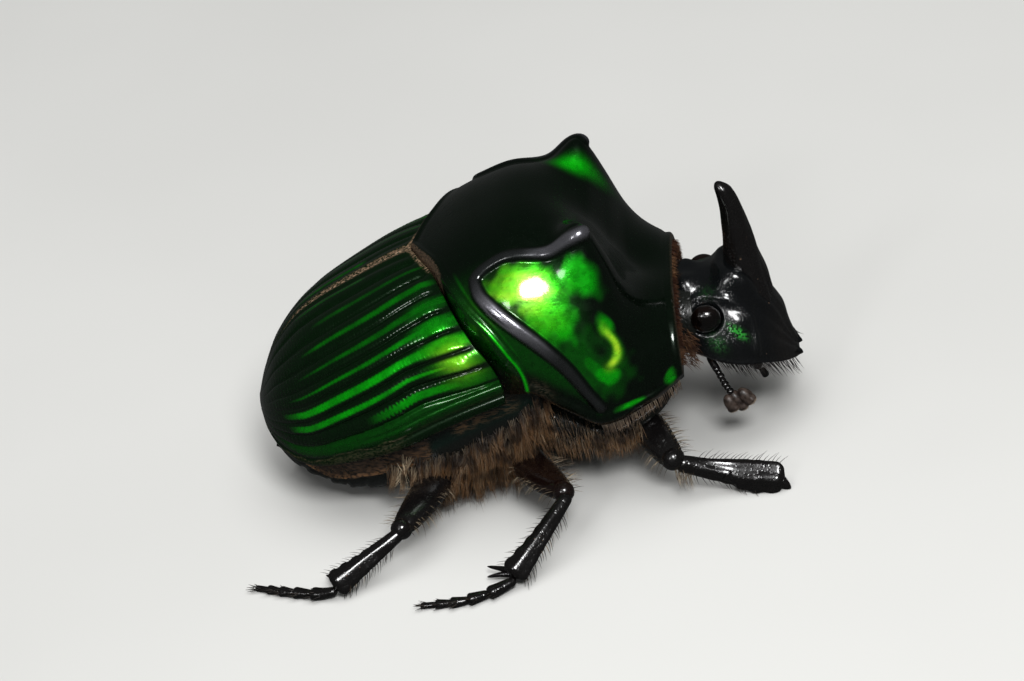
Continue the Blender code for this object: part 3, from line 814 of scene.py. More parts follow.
@dataclass(frozen=True)
class StrandTree:
    """Geometry Nodes that turn guide lines into tapered solid strands."""

    name: str = "Strands"

    def tree(self) -> bpy.types.NodeTree:
        """The node tree, built once.

        Returns:
            The tree, with inputs for thickness, sides and finish.
        """
        made = bpy.data.node_groups.get(self.name)
        if made:
            return made
        tree = bpy.data.node_groups.new(self.name, "GeometryNodeTree")
        face = tree.interface
        face.new_socket("Guides", in_out="INPUT", socket_type="NodeSocketGeometry")
        face.new_socket("Thickness", in_out="INPUT", socket_type="NodeSocketFloat")
        face.new_socket("Sides", in_out="INPUT", socket_type="NodeSocketInt")
        face.new_socket("Finish", in_out="INPUT", socket_type="NodeSocketMaterial")
        face.new_socket("Strands", in_out="OUTPUT", socket_type="NodeSocketGeometry")
        add = tree.nodes.new
        source, sink = add("NodeGroupInput"), add("NodeGroupOutput")
        curves = add("GeometryNodeMeshToCurve")
        width = add("GeometryNodeInputNamedAttribute")
        width.data_type = "FLOAT"
        width.inputs["Name"].default_value = "Width"
        scale = add("ShaderNodeMath")
        scale.operation = "MULTIPLY"
        circle = add("GeometryNodeCurvePrimitiveCircle")
        circle.inputs["Radius"].default_value = 1.0
        solid, real = add("GeometryNodeCurveToMesh"), add("GeometryNodeRealizeInstances")
        solid.inputs["Fill Caps"].default_value = True
        finish = add("GeometryNodeSetMaterial")
        links = (
            (source.outputs["Guides"], curves.inputs["Mesh"]),
            (width.outputs["Attribute"], scale.inputs[0]),
            (source.outputs["Thickness"], scale.inputs[1]),
            (curves.outputs["Curve"], solid.inputs["Curve"]),
            (scale.outputs[0], solid.inputs["Scale"]),
            (source.outputs["Sides"], circle.inputs["Resolution"]),
            (circle.outputs["Curve"], solid.inputs["Profile Curve"]),
            (solid.outputs["Mesh"], real.inputs["Geometry"]),
            (real.outputs["Geometry"], finish.inputs["Geometry"]),
            (source.outputs["Finish"], finish.inputs["Material"]),
            (finish.outputs["Geometry"], sink.inputs["Strands"]),
        )
        for out, into in links:
            tree.links.new(out, into)
        return tree


@dataclass
class Strands:
    """Hairs or bristles of one finish, grown as solid strands along guide lines."""

    name: str
    finish: Finish
    seed: int
    sides: int = 4
    knots: int = 6
    patch: float = 0.003
    guides: list[Array] = field(default_factory=list)
    marks: dict[str, list[Array]] = field(default_factory=dict)

    def __post_init__(self) -> None:
        """Start the strand's own random numbers."""
        self.random = np.random.default_rng(self.seed)

    def grow(self, roots: Array, ways: Array, lengths: Array, bends: Array, width: Array | float,
             tone: Array | float = 0.0, spots: Optional[Array] = None) -> None:
        """Add strands.

        Args:
            roots: Where each starts.
            ways: Unit direction in which each starts.
            lengths: Length of each.
            bends: How far each bends over its length, as a vector of lengths.
            width: Half width at the root.
            tone: How pale each is.
            spots: Place of each root on an unwrap of what it grows from.
        """
        t = np.linspace(0, 1, self.knots)
        count = len(roots)
        lengths = np.broadcast_to(np.asarray(lengths, float), (count,))
        straight = ways[:, None] * t[None, :, None]
        bent = np.broadcast_to(bends, (count, 3))[:, None] * (t ** 2)[None, :, None]
        self.guides.append(roots[:, None] + (straight + bent) * lengths[:, None, None])
        taper = np.maximum((1 - t ** 1.6) ** 0.8, 0.12)
        width = np.broadcast_to(np.asarray(width, float), (count,))
        spots = np.stack([roots[:, 0] * 0.03 + 0.5, roots[:, 1] * 0.03 + 0.5], -1) if spots is None else spots
        self.store("Width", width[:, None] * taper)
        self.store("Along", np.broadcast_to(t, (count, self.knots)))
        self.store("Tone", np.broadcast_to(np.asarray(tone, float), (count,))[:, None].repeat(self.knots, 1))
        self.store("SpotU", spots[:, :1].repeat(self.knots, 1))
        self.store("SpotV", spots[:, 1:].repeat(self.knots, 1))

    def store(self, name: str, values: Array) -> None:
        """Keep a mark of the strands just added."""
        self.marks.setdefault(name, []).append(values)

    def guide_mesh(self) -> bpy.types.Mesh:
        """The guide lines as a mesh of edges with their marks."""
        points = np.concatenate(self.guides)
        points[..., 2] = np.maximum(points[..., 2], 0.04)
        count = len(points)
        mesh = bpy.data.meshes.new(f"{self.name}_guides")
        start = np.arange(count * self.knots).reshape(count, self.knots)
        edges = np.stack([start[:, :-1], start[:, 1:]], axis=-1).reshape(-1, 2)
        mesh.from_pydata(((points.reshape(-1, 3) - MIDDLE) * MM).tolist(), edges.tolist(), [])
        for name, values in self.marks.items():
            layer = mesh.attributes.new(name, "FLOAT", "POINT")
            layer.data.foreach_set("value", np.concatenate(values).reshape(-1).astype(np.float32))
        return mesh

    def build(self, slot: Slot = Slot.HAIR) -> Optional[bpy.types.Object]:
        """Turn the guides into the piece.

        Args:
            slot: Its slot in the record.

        Returns:
            The piece, or None where there are no strands.
        """
        if not self.guides:
            return None
        guides = put(f"{self.name}_guides", self.guide_mesh())
        tree = StrandTree().tree()
        modifier = guides.modifiers.new("Strands", "NODES")
        modifier.node_group = tree
        sockets = {item.name: item.identifier for item in tree.interface.items_tree if item.in_out == "INPUT"}
        modifier[sockets["Thickness"]] = MM
        modifier[sockets["Sides"]] = self.sides
        modifier[sockets["Finish"]] = self.finish.material()
        graph = bpy.context.evaluated_depsgraph_get()
        mesh = bpy.data.meshes.new_from_object(guides.evaluated_get(graph))
        bpy.data.objects.remove(guides)
        mesh.name = self.name
        self.unwrap(mesh)
        mesh.shade_smooth()
        return dress(mesh, self.name, self.finish, slot)

    def unwrap(self, mesh: bpy.types.Mesh) -> None:
        """Give each strand a small patch at its root's place on the unwrap of what it grows from."""
        count = len(mesh.vertices)
        spots = []
        for name in ("SpotU", "SpotV", "Along"):
            values = np.zeros(count, np.float32)
            mesh.attributes[name].data.foreach_get("value", values)
            spots.append(values)
        around = (np.arange(count) % self.sides) / max(self.sides - 1, 1)
        place = np.stack([spots[0] + around * self.patch, spots[1] + spots[2] * self.patch], axis=-1)
        corners = np.zeros(len(mesh.loops), np.int32)
        mesh.loops.foreach_get("vertex_index", corners)
        layer = mesh.uv_layers.new(name="OFBake")
        layer.data.foreach_set("uv", place[corners].reshape(-1).astype(np.float32))


@dataclass(frozen=True)
class Back:
    """Lines of the back, which the wing cases and the soft body under them share."""

    width: Line = Line(((-15.0, 0.6), (-14.6, 2.3), (-13.9, 3.8), (-12.6, 5.4), (-10.3, 7.0), (-6.0, 7.9),
                        (0.9, 7.8)))
    margin: Line = Line(((-15.0, 4.6), (-13.9, 4.0), (-12.6, 3.8), (-10.3, 4.4), (-7.5, 5.1), (-3.4, 6.5),
                         (0.9, 7.7)))
    crown: Line = Line(((-15.0, 5.2), (-14.5, 6.5), (-13.4, 8.5), (-11.6, 10.3), (-8.4, 11.9), (-5.0, 13.15),
                        (0.9, 14.2)))
    bulge: Line = Line(((-12.0, 1.95), (-5.0, 2.25)))
    tip: float = -15.0
    front: float = 0.9

    def point(self, x: Array, angle: Array, inset: Array | float = 0.0) -> Array:
        """Points on the back.

        Args:
            x: Places along it.
            angle: Angles up from its left margin.
            inset: How far below it they lie.

        Returns:
            The points.
        """
        across, up = arch(angle, self.bulge(x))
        margin = self.margin(x)
        rise = self.crown(x) - margin
        width = np.maximum(0.05, self.width(x) - inset)
        return stack(x, across * width, margin + up * np.maximum(0.05, rise - inset))


@dataclass
class Shield:
    """Shield of the forebody: a dome with two bosses, a rim round each side panel and a beaded edge."""

    width: Line = Line(((-5.6, 7.8), (0.9, 8.0), (4.4, 8.2), (7.0, 7.3), (8.3, 6.3), (9.0, 5.6)))
    margin: Line = Line(((-5.6, 6.0), (0.5, 8.0), (2.4, 6.7), (4.4, 5.45), (7.0, 5.9), (9.0, 6.3)))
    crown: Line = Line(((-5.6, 12.9), (-4.0, 13.8), (-1.1, 15.1), (1.4, 15.7), (3.4, 15.4), (4.8, 14.7),
                        (5.8, 13.1), (6.6, 11.5), (7.5, 10.5), (9.0, 9.7)))
    lobe: Line = Line(((0.0, -4.9), (0.18, -4.3), (0.36, -3.6), (0.55, -3.05), (0.72, -2.45), (0.82, -1.9),
                       (0.92, -0.95), (0.975, -0.2), (1.0, 0.5)))
    front: float = 8.85
    power: float = 2.4
    edge: float = 0.35
    undercut: float = 0.97
    rows: int = 170
    columns: int = 290
    boss: tuple[float, float] = (4.9, 4.75)
    boss_rise: float = 2.1
    boss_spread: float = 1.45
    boss_tip: Point = (5.15, 4.85, 15.5)
    boss_half: float = 0.34
    saddle: tuple[float, float, float] = (5.6, 1.3, 2.2)
    panel: tuple[float, float, float, float] = (3.4, 6.9, 0.1, 2.2)
    pit: tuple[float, float, float, float] = (4.85, 7.45, 0.5, 0.5)
    rim: tuple[tuple[float, float, float], ...] = (
        (4.2, 56, 0.36), (2.7, 57, 0.32), (0.8, 57, 0.28), (-0.6, 55, 0.26), (-1.2, 51, 0.28),
        (-1.1, 45, 0.33), (-0.5, 36, 0.36), (0.35, 27, 0.37), (1.75, 19, 0.36), (3.0, 13.5, 0.32),
        (3.8, 8, 0.28), (4.35, 4, 0.3))
    bead: float = 0.09
    bead_wide: float = 0.13
    # ring: the golden crescent of painted reflection round the side pit. glows: painted green gleams, each a
    # place along, height in degrees, width, height spread and strength.
    ring: tuple[float, float, float, float] = (4.9, 25.0, 0.8, 6.5)
    glows: tuple[tuple[float, float, float, float, float], ...] = (
        (1.5, 44.0, 2.3, 10.5, 1.0), (2.5, 32.0, 1.55, 11.0, 1.0), (4.3, 46.0, 1.3, 6.0, 0.8),
        (5.3, 33.0, 0.5, 4.0, 0.75), (5.1, 14.5, 0.85, 4.0, 0.8), (4.4, 17.5, 0.6, 4.0, 0.35),
        (5.9, 2.1, 0.9, 0.8, 0.75), (8.2, 5.0, 0.36, 5.0, 0.6), (4.2, 18.0, 2.4, 15.0, 0.16))

    def hind_edge(self, share: Array) -> Array:
        """Place of the hind edge at a share of the half width."""
        return self.lobe(np.minimum(1.0, np.abs(share)))

    def plain(self, x: Array, angle: Array) -> Array:
        """Points on the dome without its rims and beads.

        Args:
            x: Places along it.
            angle: Angles up from its left margin.

        Returns:
            The points.
        """
        across, up = arch(angle, self.power)
        y = across * self.width(x)
        margin = self.margin(x)
        aside = np.abs(y)
        relief = self.boss_rise * hill(x - self.boss[0], aside - self.boss[1], self.boss_spread)
        relief = relief - self.saddle[1] * hill(x - self.saddle[0], y, self.saddle[2])
        relief = relief - self.panel[2] * hill(x - self.panel[0], aside - self.panel[1], self.panel[3])
        relief = relief - self.pit[2] * hill(x - self.pit[0], aside - self.pit[1], self.pit[3])
        return stack(x, y, margin + up * (self.crown(x) - margin) + relief * (1 - (1 - up) ** 3))

    def lay(self, down: Array, aside: Array) -> tuple[Array, Array, Array]:
        """Where shares of the sheet lie.

        Args:
            down: Share from hind edge to front.
            aside: Share from left margin to right.

        Returns:
            The place along the body, the angle up from the left margin, and the hind edge there.
        """
        angle = np.pi * aside
        back = self.hind_edge(arch(angle, self.power)[0])
        return back + (self.front - back) * down, angle, back

    def rim_path(self, side: Side) -> tuple[Array, Array]:
        """Crest of the rim of one side.

        Args:
            side: The side.

        Returns:
            Points along it, and its half width at each.
        """
        stations = np.array(self.rim)
        joints = [self.boss_tip]
        joints += [tuple(self.plain(np.array(x), np.radians(degrees))) for x, degrees, _ in self.rim]
        path, shares = resample(joints, 60)
        half = np.interp(np.linspace(0, 1, 60), shares, np.concatenate([[self.boss_half], stations[:, 2]]))
        return side.of(path), half

    def top(self, down: Array, aside: Array) -> Array:
        """Top surface with its rims and beads.

        Args:
            down: Share from hind edge to front.
            aside: Share from left margin to right.

        Returns:
            The points.
        """
        x, angle, back = self.lay(down, aside)
        grid = self.plain(x, angle)
        outward = normals(grid)
        outward = outward * np.sign(outward[len(outward) // 2, outward.shape[1] // 2, 2])
        rise = np.zeros(x.shape)
        for side in Side:
            off, half = away(grid, *self.rim_path(side))
            t = np.clip(off / (half * 1.45), 0.0, 1.0)
            rise = np.maximum(rise, half * 0.85 * (1 - t ** 3) ** 1.4)
        length = self.front - back
        from_edge = np.minimum(down * length, (1 - down) * length)
        from_edge = np.minimum(from_edge, np.minimum(aside, 1 - aside) * 24.0)
        bead = self.bead * bell(from_edge, self.bead_wide, self.bead_wide)
        groove = 0.5 * self.bead * bell(from_edge, 3 * self.bead_wide, self.bead_wide)
        return grid + outward * (rise + bead - groove)[..., None]

    def floor(self, down: Array, aside: Array) -> Array:
        """Flat underside.

        Args:
            down: Share from hind edge to front.
            aside: Share from left margin to right.

        Returns:
            The points.
        """
        x, angle, _ = self.lay(down, aside)
        across = arch(angle, self.power)[0]
        return stack(x, across * self.width(x) * self.undercut, self.margin(x) - self.edge)

    def marks(self, down: Array, aside: Array) -> dict[str, Array]:
        """Painted green and golden gleams, a painted grey sheen on the rims, and dust over the top.

        Args:
            down: Share from hind edge to front.
            aside: Share from left margin to right.

        Returns:
            The marks by name.
        """
        x, angle, back = self.lay(down, aside)
        grid = self.plain(x, angle)
        off, half = away(grid, *self.rim_path(Side.LEFT))
        off_right, half_right = away(grid, *self.rim_path(Side.RIGHT))
        near = np.minimum(off - 1.15 * half, off_right - 1.15 * half_right)
        height = np.minimum(aside, 1 - aside) * 180
        from_hind = down * (self.front - back)
        # Green mark: a dim green low on the sides, then painted green reflections on the panel, in the pit's
        # crescent, on the far boss and along the hind bead.
        green = 0.004 + 0.1 * (1 - ease(36, 62, height)) * (1 - ease(3.0, 5.0, x)) * ease(3.0, 9.0, height)
        ragged = 0.09 * np.sin(3.7 * x + 0.42 * height) + 0.07 * np.sin(7.3 * x - 0.71 * height + 1.0)
        for place, degrees, wide, tall, light in self.glows:
            off = np.hypot((x - place) / wide, (height - degrees) / tall) + ragged
            green = np.maximum(green, light * (1 - ease(0.45, 1.15, off)))
        place, degrees, wide, tall = self.ring
        ring = np.hypot((x - place) / wide, (height - degrees) / tall)
        crescent = bell(ring, 1.05, 0.3) * ease(4.7, 5.5, x)
        green = np.maximum(green, crescent) * (1 - 0.9 * bell(ring, 0, 0.62))
        green = green * ease(0.0, 0.14, near)
        far_boss = 1.2 * bell(x, 4.4, 1.0) * bell(grid[..., 1], 3.1 + 0.25 * (x - 4.4) ** 2, 0.4)
        bead = bell(from_hind, 0.15, 0.08) * (1 - ease(26, 36, height))
        second = 0.2 * bell(from_hind, 0.62, 0.1) * (1 - ease(50, 62, height)) * ease(8, 16, height)
        green = np.maximum.reduce([green, far_boss, bead, second])
        # Gold mark: painted yellow tint round the panel's highlight and in the pit's crescent.
        gold = 0.7 * bell(x, 0.9, 1.7) * bell(height, 41, 12) + 1.1 * crescent
        front_dust = 0.28 * bell((1 - down) * (self.front - back), 0, 0.12)
        hind_dust = bell(from_hind, 0, 0.1) * ease(58, 68, height)
        corner = 0.2 * bell(x, 1.4, 0.9) * (1 - ease(3, 8, height))
        # Painted grey sheen along the rims: faint all over, strong on the lower stretch and on the upper
        # stretch towards the boss (painted highlight).
        shine = bell(height, 31, 10) * (1 - ease(1.6, 2.8, x))
        shine = shine + 0.4 * ease(1.2, 3.0, x) * ease(46, 53, height)
        worn = (1 - ease(-0.25, 0.0, near)) * np.clip(0.08 + shine, 0, 1)
        return {"Green": np.clip(green, 0, 1), "Gold": np.clip(gold, 0, 1), "Worn": worn,
                "Dust": np.clip(front_dust + 0.6 * hind_dust + corner, 0, 1)}

    def build(self) -> None:
        """Make the shield."""
        shape = Shape()
        shape.shell(self.top, self.floor, self.rows, self.columns, marks=self.marks)
        shape.piece("shield", GREEN, Slot.GREEN_SHELL, "pronotum")


@dataclass(frozen=True)
class Streak:
    """One raised line of a wing case, and where along it the shell gleams green: a painted reflection."""

    places: tuple[float, float, float]
    span: tuple[float, float]
    half: tuple[float, float]
    light: float


# Painted green gleams along the raised lines: their places at three stations, how far along they gleam, their
# half widths and brightness.
STREAKS = (
    Streak((0.17, 0.2, 0.17), (0.08, 0.34), (0.3, 0.4), 0.85),
    Streak((0.27, 0.292, 0.215), (0.02, 0.64), (0.02, 0.46), 0.95),
    Streak((0.385, 0.382, 0.315), (0.0, 0.66), (0.42, 0.3), 1.0),
    Streak((0.505, 0.47, 0.4), (0.0, 0.62), (0.26, 0.02), 0.6),
    Streak((0.62, 0.573, 0.505), (0.0, 0.56), (0.32, 0.0), 0.35),
    Streak((0.735, 0.69, 0.62), (0.02, 0.52), (0.24, 0.06), 0.45),
    Streak((0.85, 0.825, 0.765), (0.02, 0.46), (0.08, 0.12), 0.22),
    Streak((0.945, 0.935, 0.915), (0.2, 0.52), (0.08, 0.1), 0.25),
)


@dataclass
class WingCase:
    """One grooved wing case."""

    side: Side
    back: Back
    shield: Shield
    thick: float = 0.75
    gap: float = 0.14
    seam: float = 0.03
    streaks: tuple[Streak, ...] = STREAKS
    stations: tuple[float, ...] = (0.05, 0.2, 0.55)
    groove: float = 0.1
    line: float = 0.08
    rib: float = 0.014
    rib_step: float = 0.27
    rows: int = 240
    columns: int = 193
    shoulder: tuple[float, float, float] = (0.06, 0.3, 0.42)
    knobs: tuple[tuple[float, float, float], ...] = (
        (0.07, 0.575, 0.1), (0.07, 0.465, 0.12), (0.055, 0.365, 0.12), (0.06, 0.255, 0.14),
        (0.045, 0.735, 0.07))

    def front(self, angle: Array, depth: float) -> Array:
        """Front end at an angle up from the margin, clear of the shield."""
        half = float(self.shield.width(self.back.front))
        across = arch(angle, self.back.bulge(self.back.front))[0]
        share = across * (self.back.width(self.back.front) - depth) / half
        slope = (self.shield.hind_edge(share + 0.01) - self.shield.hind_edge(share)) / (0.01 * half)
        return self.shield.hind_edge(share) - self.gap * np.hypot(1.0, slope)

    def lay(self, down: Array, aside: Array, inset: Array | float, depth: float) -> Array:
        """Points under the plain outer surface.

        Args:
            down: Share from front to tip.
            aside: Share from margin to suture.
            inset: How far under the surface they lie.
            depth: How far in its edge lies.

        Returns:
            The points.
        """
        angle = np.pi / 2 * aside
        front = self.front(angle, depth)
        x = front + (self.back.tip + depth - front) * np.sin(np.pi / 2 * down)
        points = self.back.point(x, angle, inset)
        points[..., 1] = self.side.value * np.maximum(points[..., 1], self.seam)
        return points

    def interval(self, down: Array, aside: Array) -> tuple[Array, Array]:
        """Which raised line each place belongs to.

        Args:
            down: Share from front to tip.
            aside: Share from margin to suture.

        Returns:
            The number of the line, -1 below them all, and how far off its middle the place is, 1 at a stria.
        """
        middles = [np.interp(down, self.stations, streak.places) for streak in self.streaks]
        between = [(a + b) / 2 for a, b in zip(middles, middles[1:])]
        bounds = [middles[0] - 0.05] + between + [np.ones_like(down)]
        number = np.full(down.shape, -1)
        off = np.ones(down.shape)
        for k, (low, high) in enumerate(zip(bounds, bounds[1:])):
            here = (aside >= low) & (aside <= high)
            number = np.where(here, k, number)
            off = np.where(here, (2 * aside - low - high) / (high - low), off)
        below = aside < bounds[0]
        return number, np.where(below, 1 + 20 * (bounds[0] - aside), off)

    def wave(self, down: Array, number: Array) -> Array:
        """Fine cross ribs that run along each raised line."""
        x = -16.0 * np.sin(np.pi / 2 * down)
        return np.sin(2 * np.pi * x / self.rib_step + 1.7 * number + 0.7 * np.sin(3.1 * x))

    def relief(self, down: Array, aside: Array) -> Array:
        """Depth below the plain surface.

        Args:
            down: Share from front to tip.
            aside: Share from margin to suture.

        Returns:
            The depth, less than nothing where the surface stands proud.
        """
        number, off = self.interval(down, aside)
        side = np.abs(off)
        fade = np.minimum(1.0, 5 * (1 - np.sin(np.pi / 2 * down))) * ease(0.0, 0.04, down)
        inside = number >= 0
        broad = np.where(inside, self.groove * side ** 2.5, self.groove * bell(side, 1, 0.3))
        narrow = self.line * bell(side, 1, 0.17) * (aside < 0.99)
        ribs = self.rib * self.wave(down, number) * bell(side, 0.55, 0.3)
        depth = (broad + narrow + np.where(inside, ribs, 0.0)) * fade
        place, across, height = self.shoulder
        shoulder = height * bell(down, place, 0.07) * bell(aside, across, 0.1)
        for place, across, height in self.knobs:
            shoulder = shoulder + height * bell(down, place, 0.02) * bell(aside, across, 0.03)
        ledge = 0.09 * bell(aside, 0.045, 0.014) - 0.05 * bell(aside, 0.018, 0.014)
        folds = ease(0.03, 0.05, aside) * (1 - ease(0.1, 0.13, aside))
        folds = 0.035 * np.cos(2 * np.pi * aside / 0.032) * folds
        suture = -0.06 * bell(aside, 0.983, 0.014) + 0.05 * bell(aside, 0.95, 0.012)
        return depth - shoulder + ledge + folds * (1 - ease(0.3, 0.45, down)) + suture * fade

    def top(self, down: Array, aside: Array) -> Array:
        """Outer surface."""
        return self.lay(down, aside, self.relief(down, aside), 0.0)

    def floor(self, down: Array, aside: Array) -> Array:
        """Inner surface."""
        return self.lay(down, aside, self.thick, self.thick)

    def marks(self, down: Array, aside: Array) -> dict[str, Array]:
        """Painted green and golden gleams, and dust, over the outer surface.

        Args:
            down: Share from front to tip.
            aside: Share from margin to suture.

        Returns:
            The marks by name.
        """
        number, off = self.interval(down, aside)
        wave = self.wave(down, number)
        side = np.abs(off)
        # Green mark: dim green below the raised lines, painted green gleams along each line and a painted
        # glow on the shoulder.
        green = 0.02 + 0.1 * ease(0.04, 0.09, aside) * (number < 0) * (1 - ease(0.6, 0.8, down))
        for k, streak in enumerate(self.streaks):
            first, last = streak.span
            t = np.clip((down - first) / (last - first), 0.0, 1.0)
            comb = 0.03 + (0.16 * bell(down, 0.27, 0.05) if k == 0 else 0.0)
            wide = streak.half[0] + (streak.half[1] - streak.half[0]) * t + comb * wave
            patchy = 0.8 + 0.2 * np.sin(21.0 * down + 2.3 * k) * np.sin(47.0 * down + 5.1 * k)
            lit = ease(first - 0.03, first + 0.02, down) * (1 - ease(last - 0.12, last + 0.03, down)) * patchy
            band = streak.light * lit * (1 - ease(wide - 0.08, wide + 0.18, side))
            green = np.where(number == k, np.maximum(green, band), green)
        glow = bell(down, 0.06, 0.055) * bell(aside, 0.36, 0.2) * (1 - ease(0.5, 0.85, side))
        green = np.maximum(green, np.where(number >= 0, glow, 0.0))
        # Gold mark: painted golden tint on the shoulder's gleam.
        gold = bell(down, 0.06, 0.05) * bell(aside, 0.28, 0.1)
        suture = bell(aside, 1, 0.017) * (1 - 0.75 * ease(0.42, 0.6, down))
        front = bell(down, 0, 0.012) * ease(0.76, 0.85, aside)
        crust = np.interp(down, (0.2, 0.26, 0.32, 0.42, 0.52, 0.7, 0.9),
                          (0.0, 0.04, 0.055, 0.052, 0.04, 0.02, 0.02))
        crust = crust + 0.006 * np.sin(31.0 * down) + 0.004 * np.sin(83.0 * down)
        margin = 0.2 * (1 - ease(crust - 0.02, crust + 0.008, aside)) * ease(0.2, 0.3, down)
        margin = margin + 0.3 * bell(aside, crust, 0.004) * ease(0.22, 0.3, down)
        ridge = 0.15 * bell(aside, 0.05, 0.01) * (1 - ease(0.2, 0.35, down))
        return {"Green": np.clip(green, 0.02, 1), "Gold": 0.8 * gold,
                "Dust": np.clip(suture + front + margin + ridge, 0, 1)}

    def build(self) -> None:
        """Make the wing case."""
        shape = Shape()
        shape.shell(self.top, self.floor, self.rows, self.columns, marks=self.marks)
        shape.piece(f"wing_case_{self.side.word}", GREEN, Slot.GREEN_SHELL, f"elytron_{self.side.word}")


@dataclass
class Underbody:
    """One skin over abdomen, breast, chest and neck, with the plates of the belly."""

    back: Back
    shield: Shield
    belly: Line = Line(((-13.95, 1.6), (-13.2, 0.95), (-11.0, 0.55), (-5.0, 0.85), (0.9, 2.1)))
    chest_width: Line = Line(((1.2, 7.0), (4.4, 7.0), (7.0, 6.2), (8.7, 4.2)))
    chest_line: Line = Line(((1.2, 2.6), (5.0, 2.7), (7.4, 3.6), (8.7, 4.8)))
    belly_power: float = 3.4
    chest_power: float = 2.6
    inset: float = 1.05
    lift: float = 0.65
    rump_reach: float = 1.3
    rump_length: float = 3.0
    joints: tuple[float, ...] = (-13.0, -11.9, -10.8, -9.7, -8.5, -7.2, -6.2)
    joint_depth: float = 0.14
    rows: int = 230
    sides: int = 128
    neck: tuple[float, float, float] = (9.7, 2.9, 2.3)

    def trunk(self, x: Array, angle: Array) -> Array:
        """Rings of abdomen and breast.

        Args:
            x: Places along the body.
            angle: Angles round it, up from the left margin.

        Returns:
            The points.
        """
        reach = (self.back.front - x) / (self.back.front - self.back.tip - self.inset)
        source = self.back.front - reach * (self.back.front - self.back.tip)
        over = self.back.point(source, np.minimum(angle, np.pi), self.inset)
        edge = self.back.point(source, 0.0 * angle, self.inset)
        across, down = arch(2 * np.pi - angle, self.belly_power)
        down = np.maximum(down, 0.0)
        drop = edge[..., 2] - self.belly(x)
        rump = self.rump_reach * np.maximum(0.0, 1 - (x - self.back.tip) / self.rump_length)
        under = stack(x - rump * down, across * edge[..., 1], edge[..., 2] - down * drop)
        above = stack(x, over[..., 1], over[..., 2])
        return np.where((angle <= np.pi)[..., None], above, under)

    def chest(self, x: Array, angle: Array) -> Array:
        """Rings of the chest."""
        across, up = arch(angle, self.chest_power)
        top = self.shield.margin(x) - self.lift
        floor = self.chest_line(x)
        return stack(x, across * self.chest_width(x), (top + floor) / 2 + up * (top - floor) / 2)

    def skin(self) -> tuple[Array, Array, Array]:
        """The whole skin.

        Returns:
            Its points, its place along the body and its angle at each.
        """
        x = np.linspace(self.back.tip + self.inset, self.neck[0], self.rows)[:, None]
        angle = 2 * np.pi * np.arange(self.sides)[None] / self.sides
        x, angle = np.broadcast_arrays(x, angle)
        share = ease(0.3, 1.6, x)[..., None]
        grid = self.trunk(x, angle) * (1 - share) + self.chest(x, angle) * share
        neck = ease(8.1, 8.9, x)[..., None]
        stalk = stack(x, np.cos(angle) * self.neck[1], 6.75 + np.sin(angle) * self.neck[2])
        return grid * (1 - neck) + stalk * neck, x, angle

    def build(self) -> None:
        """Make the skin."""
        grid, x, angle = self.skin()
        outward = outwards(grid)
        below = ease(0.1, 0.5, -np.sin(angle))
        depth = np.where(angle > np.pi, self.trunk(x, 0 * x)[..., 2] - grid[..., 2], -1.0)
        rise = np.zeros(x.shape)
        for joint in self.joints:
            bow = joint + 0.35 * np.cos(angle) ** 2
            rise -= self.joint_depth * bell(x, bow, 0.09) * below
            rise += 0.5 * self.joint_depth * bell(x - bow, 0.3, 0.2) * below
        rise = rise * ease(1.7, 2.2, depth)
        rise -= 0.1 * bell(angle, 1.5 * np.pi, 0.03) * ease(-6.0, -5.5, x) * (1 - ease(0.0, 0.5, x))
        hinder = 1 - ease(-5.6, -5.2, x)
        band = (depth > -0.5) * (1 - ease(1.6, 1.9, depth)) * hinder
        lip = bell(depth, 1.7, 0.12) * hinder
        rise += 0.12 * lip - 0.1 * bell(depth, 2.0, 0.12) * hinder
        hairy = ease(-6.5, -5.5, x) * ease(2.0, 2.8, depth) * (1 - ease(1.6, 2.4, x))
        plate = ease(-5.6, -5.2, x) * (1 - ease(0.6, 1.4, x)) * bell(depth, 1.1, 0.35)
        seam = 0.5 * bell(depth, 0.85, 0.08) * ease(-4.2, -3.4, x) * (1 - ease(-0.6, 0.2, x))
        shape = Shape()
        shape.loft(grid + outward * rise[..., None], Dust=np.clip(0.65 * band + 0.5 * hairy, 0, 1),
                   Gold=np.clip(0.2 * band + 0.9 * lip + seam, 0, 1), Green=np.clip(plate, 0, 1))
        shape.piece("underbody_skin", SKIN, Slot.UNDERSIDE, "abdomen", "thorax", "prothorax")


